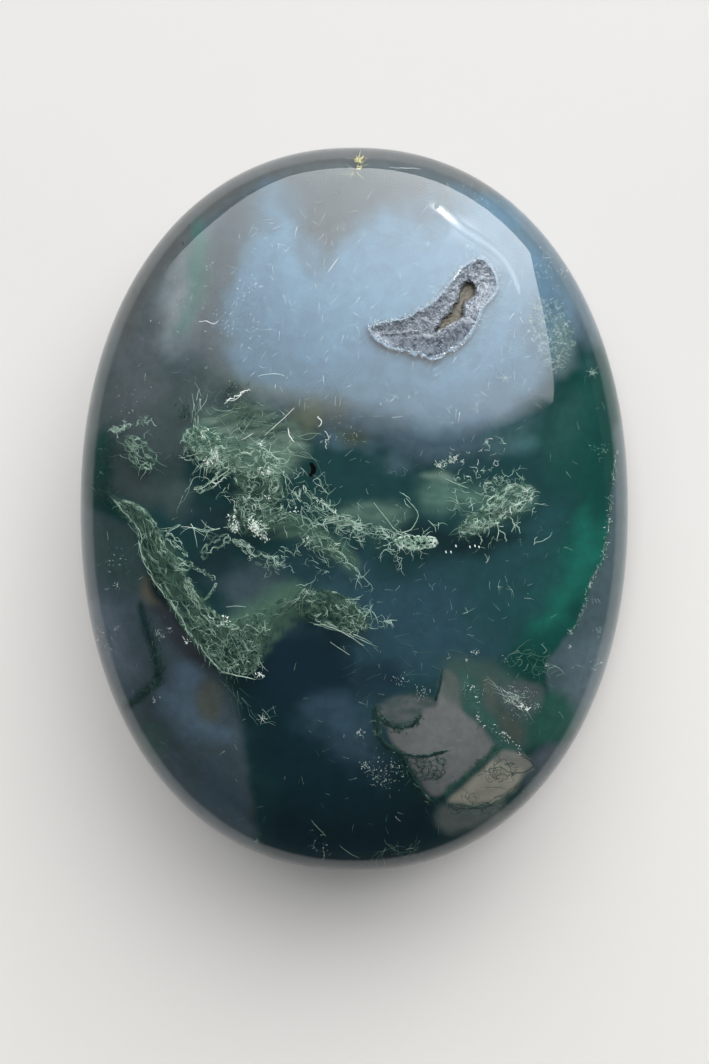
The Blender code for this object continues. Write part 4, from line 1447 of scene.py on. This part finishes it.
def scattered_needles(needles):
    """Fine needles all over, more of them in three parts, and the frosted cloudlet at the right."""
    angles = math.tau * np.arange(24) / 24
    oval = np.column_stack((354 + 262 * np.cos(angles), 509 + 350 * np.sin(angles)))
    needles.within(oval, 250, -0.9, 0.8, (3, 9), 0.12, (0.4, 1.2), steps=4, gaps=-1.2)
    needles.within(oval, 200, 0.3, 1.2, (2, 6), 0.5, (0.4, 1.3), steps=5, gaps=0.0)
    needles.within(((250, 200), (450, 190), (550, 300), (540, 400), (380, 420), (250, 370)), 260, -1.0,
                   0.9, (3, 11), 0.1, (0.9, 1.4), steps=4, gaps=-0.6, depth=(0.05, 0.35))
    needles.within(((310, 470), (440, 440), (540, 470), (560, 600), (420, 640), (330, 560)), 130, -0.8,
                   0.9, (4, 11), 0.15, (0.45, 1.1), steps=5, gaps=-0.4)
    needles.within(((340, 660), (420, 650), (540, 680), (500, 800), (380, 830), (300, 780)), 70, 0.9,
                   0.8, (3, 9), 0.15, (0.35, 0.9), steps=4, gaps=-0.6)
    cloudlet = ((533, 302), (550, 296), (566, 310), (576, 338), (568, 364), (552, 374), (538, 352),
                (528, 330))
    for count, size, radius, pale, wavelength, seed in (
        (1700, (0.5, 1.6), (0.010, 0.034), (0.7, 1.5), 11, 54),
        (700, (0.6, 1.8), (0.02, 0.055), (0.0, 0.4), 9, 55),
    ):
        places = places_within(needles.draw, cloudlet, count)
        needles.specks(places[ripple(places, wavelength, seed) > 0.0], size, radius, (0.05, 0.5), pale)
    needles.within(cloudlet, 50, -0.8, 0.9, (3, 8), 0.3, (0.9, 1.5), steps=4, gaps=-1.2)


def grain_groups(needles):
    for middle, spread, count in GRAIN_GROUPS_PX:
        places = np.array(middle, float) + needles.draw.normal(0, spread * 0.55, (count, 2))
        needles.specks(places, (0.5, 1.8), (0.008, 0.036), (0.05, 0.35), (0.6, 1.6))


def frosted_lines(needles, mouth):
    """Grains along the clear band at the right, round the hollow's mouth and along the dark green band."""
    draw = needles.draw
    line = ((616, 450), (612, 496), (608, 530), (602, 560), (592, 579), (588, 592), (584, 609),
            (577, 624), (569, 634))
    needles.along(line, 34, 1.4, 0.08, (3, 9), 0.05, (0.7, 1.3), steps=5, gaps=-0.6, depth=(0.08, 0.2),
                  radius=(0.008, 0.016))
    places, _ = spread_along(draw, line, 130, 3.0)
    needles.specks(places, (0.8, 3.0), (0.008, 0.030), (0.05, 0.3), (0.9, 1.5))
    mouth_px = seen_by_camera(np.column_stack((mouth, crown_height(*mouth.T))))
    for count, spread, size, pale in ((260, 9.0, (0.008, 0.024), (0.7, 1.4)),
                                      (260, 5.0, (0.02, 0.05), (0.55, 0.9))):
        places, _ = spread_along(draw, np.vstack((mouth_px, mouth_px[:1])), count * 2, spread)
        places = places[ripple(places, 14, 53) > 0.0]
        places = places[distance_to_patch(places, mouth_px) > 0.5]
        needles.specks(places, (0.8, 2.2), size, (0.03, 0.25), pale)
    chain = ((466, 682), (471, 687), (477, 698), (479, 708), (480, 724), (503, 733), (511, 740),
             (525, 756))
    places, _ = spread_along(draw, chain, 40, 3)
    needles.specks(places, (0.8, 2.8), (0.022, 0.060), (0.05, 0.25), (1.2, 1.6))


def stars_and_threads(needles):
    """Small stars of needles, and the few long bright threads."""
    draw = needles.draw
    for x, y in ((593, 372), (505, 378), (262, 719)):
        turns = draw.uniform(0, math.tau) + math.tau * np.arange(6) / 6
        needles.grow(np.tile((x, y), (6, 1)).astype(float), turns, (5, 8), 0.05, (0.08, 0.12),
                     (0.012, 0.020), (1.1, 1.4), steps=4)
    for x, y in ((498, 586), (512, 590), (468, 612), (500, 500)):
        turns = draw.uniform(0, math.tau, 4)
        needles.grow(np.tile((x, y), (4, 1)).astype(float), turns, (5, 9), 0.15, (0.1, 0.3),
                     (0.012, 0.020), (0.9, 1.2), steps=4)
    needles.thread(((264, 436), (274, 427), (284, 418), (294, 408)), 0.06, 0.024, 1.5, wobble=0.05)
    needles.thread(((241, 440), (247, 437), (253, 433)), 0.06, 0.024, 1.5, wobble=0.05)
    needles.thread(((288, 428), (290, 436), (294, 442)), 0.10, 0.05, 1.4, wobble=0.4)
    needles.thread(((326, 432), (329, 438), (325, 443), (328, 449)), 0.12, 0.04, 1.3, wobble=0.8)
    needles.thread(((318, 416), (321, 422), (319, 427)), 0.12, 0.05, 1.4, wobble=0.7)
    needles.thread(((328, 272), (333, 265), (338, 258)), 0.06, 0.020, 1.4, wobble=0.05)
    needles.thread(((390, 167), (400, 168), (411, 168), (421, 169)), 0.06, 0.028, 1.5, wobble=0.2)
    for x, y in ((522, 706), (528, 709)):
        needles.specks(np.array((x, y), float) + draw.normal(0, 1.0, (16, 2)), (0.8, 2.4), (0.03, 0.07),
                       (0.05, 0.2), (1.2, 1.6))
    needles.along(((498, 688), (512, 698), (530, 711)), 46, 7, 0.15, (6, 16), 0.1, (0.5, 1.2), steps=6,
                  depth=(0.1, 0.5), radius=(0.008, 0.022))
    needles.thread(((258, 376), (268, 374), (278, 374), (285, 376)), 0.08, 0.022, 1.2, wobble=0.1)
    needles.thread(((198, 322), (206, 321), (213, 324), (218, 321)), 0.08, 0.035, 1.4, wobble=0.6)


def needles_and_grains(finish, mouth):
    """The fine white needles that lie just under the polish, and the grains."""
    needles = Strands(35, SHALLOW, HAIR)
    scattered_needles(needles)
    grain_groups(needles)
    frosted_lines(needles, mouth)
    stars_and_threads(needles)
    needles.build("needles_and_grains", finish)


def yellow_fleck():
    finish = Finish("yellow_fleck")
    surface = finish.surface(Base_Color=(0.72, 0.68, 0.34, 1.0), Roughness=0.4)
    fleck = Strands(36)
    fleck.specks(np.array((358.5, 160.0)) + fleck.draw.normal(0, 1.8, (26, 2)), (1.5, 4.0), (0.03, 0.08),
                 (0.05, 0.2), (1, 1))
    fleck.specks(np.array((358.5, 168.5)) + fleck.draw.normal(0, 1.5, (14, 2)), (1.5, 3.0), (0.03, 0.06),
                 (0.05, 0.2), (1, 1))
    fleck.along(((352, 176), (358, 164), (362, 156)), 16, 6, 0.7, (6, 13), 0.1, (1, 1), steps=4,
                depth=(0.05, 0.2), radius=(0.014, 0.03))
    fleck.build("yellow_fleck", surface)


# Floor, sky and camera

SKY_EDGE_PX = (
    (529, 248), (533, 266), (538, 288), (546, 325), (552, 365), (554, 390), (550, 406), (526, 420),
    (496, 432), (440, 446), (350, 436), (252, 412), (196, 378), (146, 326), (163, 276), (186, 247),
    (212, 223), (240, 201), (270, 184), (302, 172), (350, 163), (400, 166), (432, 173), (465, 187),
    (491, 207), (507, 223), (523, 236),
)
SKY_SOFT_EDGE = slice(6, 15)  # the part of that outline, low and left, along which the sky fades out
SKY_FAR = 1200.0
SKY_STRENGTH = 5.0
FLOOR_LIT = 34.0  # how far past the stone the floor is light
FLOOR_HALF = 6000.0
UNDER_STONE = (0.6, -1.3)  # the middle of the shadow painted on the floor under the stone
GLINT_PX = ((424, 203), (436, 207), (448, 216), (463, 229), (482, 241), (500, 255), (512, 272), (520, 292))
GLINT_HALF = 7.0


def mirrored(pixels):
    """The directions that the polish mirrors towards the camera at these pixels."""
    skin, sight = on_skin(pixels)
    out = outward(skin)
    return sight - 2 * (sight * out).sum(axis=1, keepdims=True) * out


def glow_finish():
    finish = Finish("sky_glow")
    glow = finish.attribute("glow")
    tint = finish.mix(finish.between(glow, 1.6, 4.0), (1.0, 0.985, 0.975), (1.0, 0.975, 0.87))
    shader = finish.node("ShaderNodeEmission", {}, {"Color": tint, "Strength": glow * SKY_STRENGTH})
    finish.node("ShaderNodeOutputMaterial", {}, {"Surface": shader})
    return finish.material


def sky_card(name, outline, spacing, finish, far):
    """A bright card far off, shaped so that its mirror image on the stone has this outline."""
    pixels, faces = filled(np.array(outline, float), spacing, seed=7)
    heading = mirrored(pixels)
    heading[:, 2] = np.maximum(heading[:, 2], 0.004)
    card = add_mesh(name, on_skin(pixels)[0] + heading * far, [face[::-1] for face in faces], finish)
    keep_number(card, "glow", sky_brightness(pixels))
    card.visible_camera = False


def sky_brightness(pixels):
    """Brightest high on the right, fading out low and left, with the glint's bright line across it."""
    across = 0.47 + 0.51 * smoothstep(pixels[:, 0], 200, 520)
    down = 1.32 - 0.66 * smoothstep(pixels[:, 1], 200, 400)
    soft = 10 + 28 * smoothstep(pixels[:, 0], 550, 420)
    away = distance_to_line(pixels, np.array(SKY_EDGE_PX[SKY_SOFT_EDGE], float))
    high_right = 1 + 0.08 * smoothstep(pixels[:, 0], 485, 522) * (1 - smoothstep(pixels[:, 1], 270, 330))
    return across * down * high_right * smoothstep(away, 0, soft) + glint_brightness(pixels)


def glint_outline():
    line = smoothed(GLINT_PX, 3, closed=False)
    return np.vstack((line - (0, GLINT_HALF), line[::-1] + (0, GLINT_HALF)))


def glint_brightness(pixels):
    """Brightest in the middle of the line and near its upper end."""
    away = distance_to_line(pixels, smoothed(GLINT_PX, 3, closed=False))
    along = np.exp(-(((pixels[:, 0] - 444) / 11) ** 2)) + 0.15 * smoothstep(pixels[:, 0], 436, 460)
    return 4.6 * along * np.exp(-((away / 2.6) ** 2)) * smoothstep(pixels[:, 0], 424, 436)


def floor():
    """A pale floor, painted lighter towards the bottom and glowing faintly as painted fill light, with a
    painted shadow right under the stone, and dark further away than the picture shows.
    """
    finish = Finish("pale_floor")
    place = finish.place()
    lit = (1 / (HALF_WIDTH + FLOOR_LIT), 1 / (HALF_LENGTH + FLOOR_LIT), 0)
    away = finish.vector("LENGTH", finish.vector("MULTIPLY", place, lit), result="Value")
    far = finish.between(away, 1.0, 1.4)
    along = finish.node("ShaderNodeSeparateXYZ", {}, {0: place}, result="Y")
    # Painted light: the floor's tone is lighter towards the bottom, for light that the lamps don't give
    # there.
    tone = finish.mix(finish.between(along, 30.0, -22.0), (0.436, 0.436, 0.434), (0.520, 0.515, 0.500))
    # Painted shadow: right under the stone, its middle a little to the right and towards the bottom, the
    # floor is painted dark and given no glow.
    below = finish.vector("SUBTRACT", place, (*UNDER_STONE, 0))
    below = finish.vector("MULTIPLY", below, (1 / HALF_WIDTH, 1 / HALF_LENGTH, 0))
    painted_contact_shadow = 1 - finish.between(finish.vector("LENGTH", below, result="Value"), 0.80, 1.10)
    tone = finish.mix(far, tone, (0.05, 0.05, 0.05))
    # Painted fill light: the floor glows faintly all over, less far off and not under the stone.
    glow = finish.mix(far, (1.0, 0.985, 0.97), (0.1, 0.1, 0.1))
    surface = finish.surface(
        Base_Color=finish.mix(painted_contact_shadow, tone, (0.03, 0.03, 0.03)),
        Roughness=0.8,
        Emission_Color=finish.mix(painted_contact_shadow, glow, (0, 0, 0)),
        Emission_Strength=0.2,
    )
    corners = [(x * FLOOR_HALF, y * FLOOR_HALF, 0) for x, y in ((-1, -1), (1, -1), (1, 1), (-1, 1))]
    add_mesh("floor", corners, [(0, 1, 2, 3)], surface)


def camera():
    data = bpy.data.cameras.new("camera")
    data.lens = LENS
    data.sensor_width = SENSOR
    data.clip_start = 0.01
    data.clip_end = 20.0
    made = bpy.data.objects.new("camera", data)
    made.location = CAMERA * MM
    bpy.context.scene.collection.objects.link(made)
    bpy.context.scene.camera = made


def surroundings():
    world = bpy.data.worlds.new("surroundings")
    bpy.context.scene.world = world
    world.use_nodes = True
    world.node_tree.nodes["Background"].inputs["Color"].default_value = (0.075, 0.085, 0.09, 1.0)
    bpy.context.scene.view_settings.view_transform = "Standard"


mouth = smoothed(MOUTH, 3)
camera()
surroundings()
floor()
glow = glow_finish()
sky_card("sky", smoothed(SKY_EDGE_PX, 3), 16.0, glow, SKY_FAR)
sky_card("glint", glint_outline(), 1.8, glow, SKY_FAR - 20.0)
polished_skin(mouth)
cloud(mouth)
druse_crust(mouth)
moss_tones = moss_finish()
moss_left(moss_tones)
moss_lower(moss_tones)
moss_right(moss_tones)
dark_growth(moss_tones)
needles_and_grains(moss_tones, mouth)
dark_pits()
yellow_fleck()
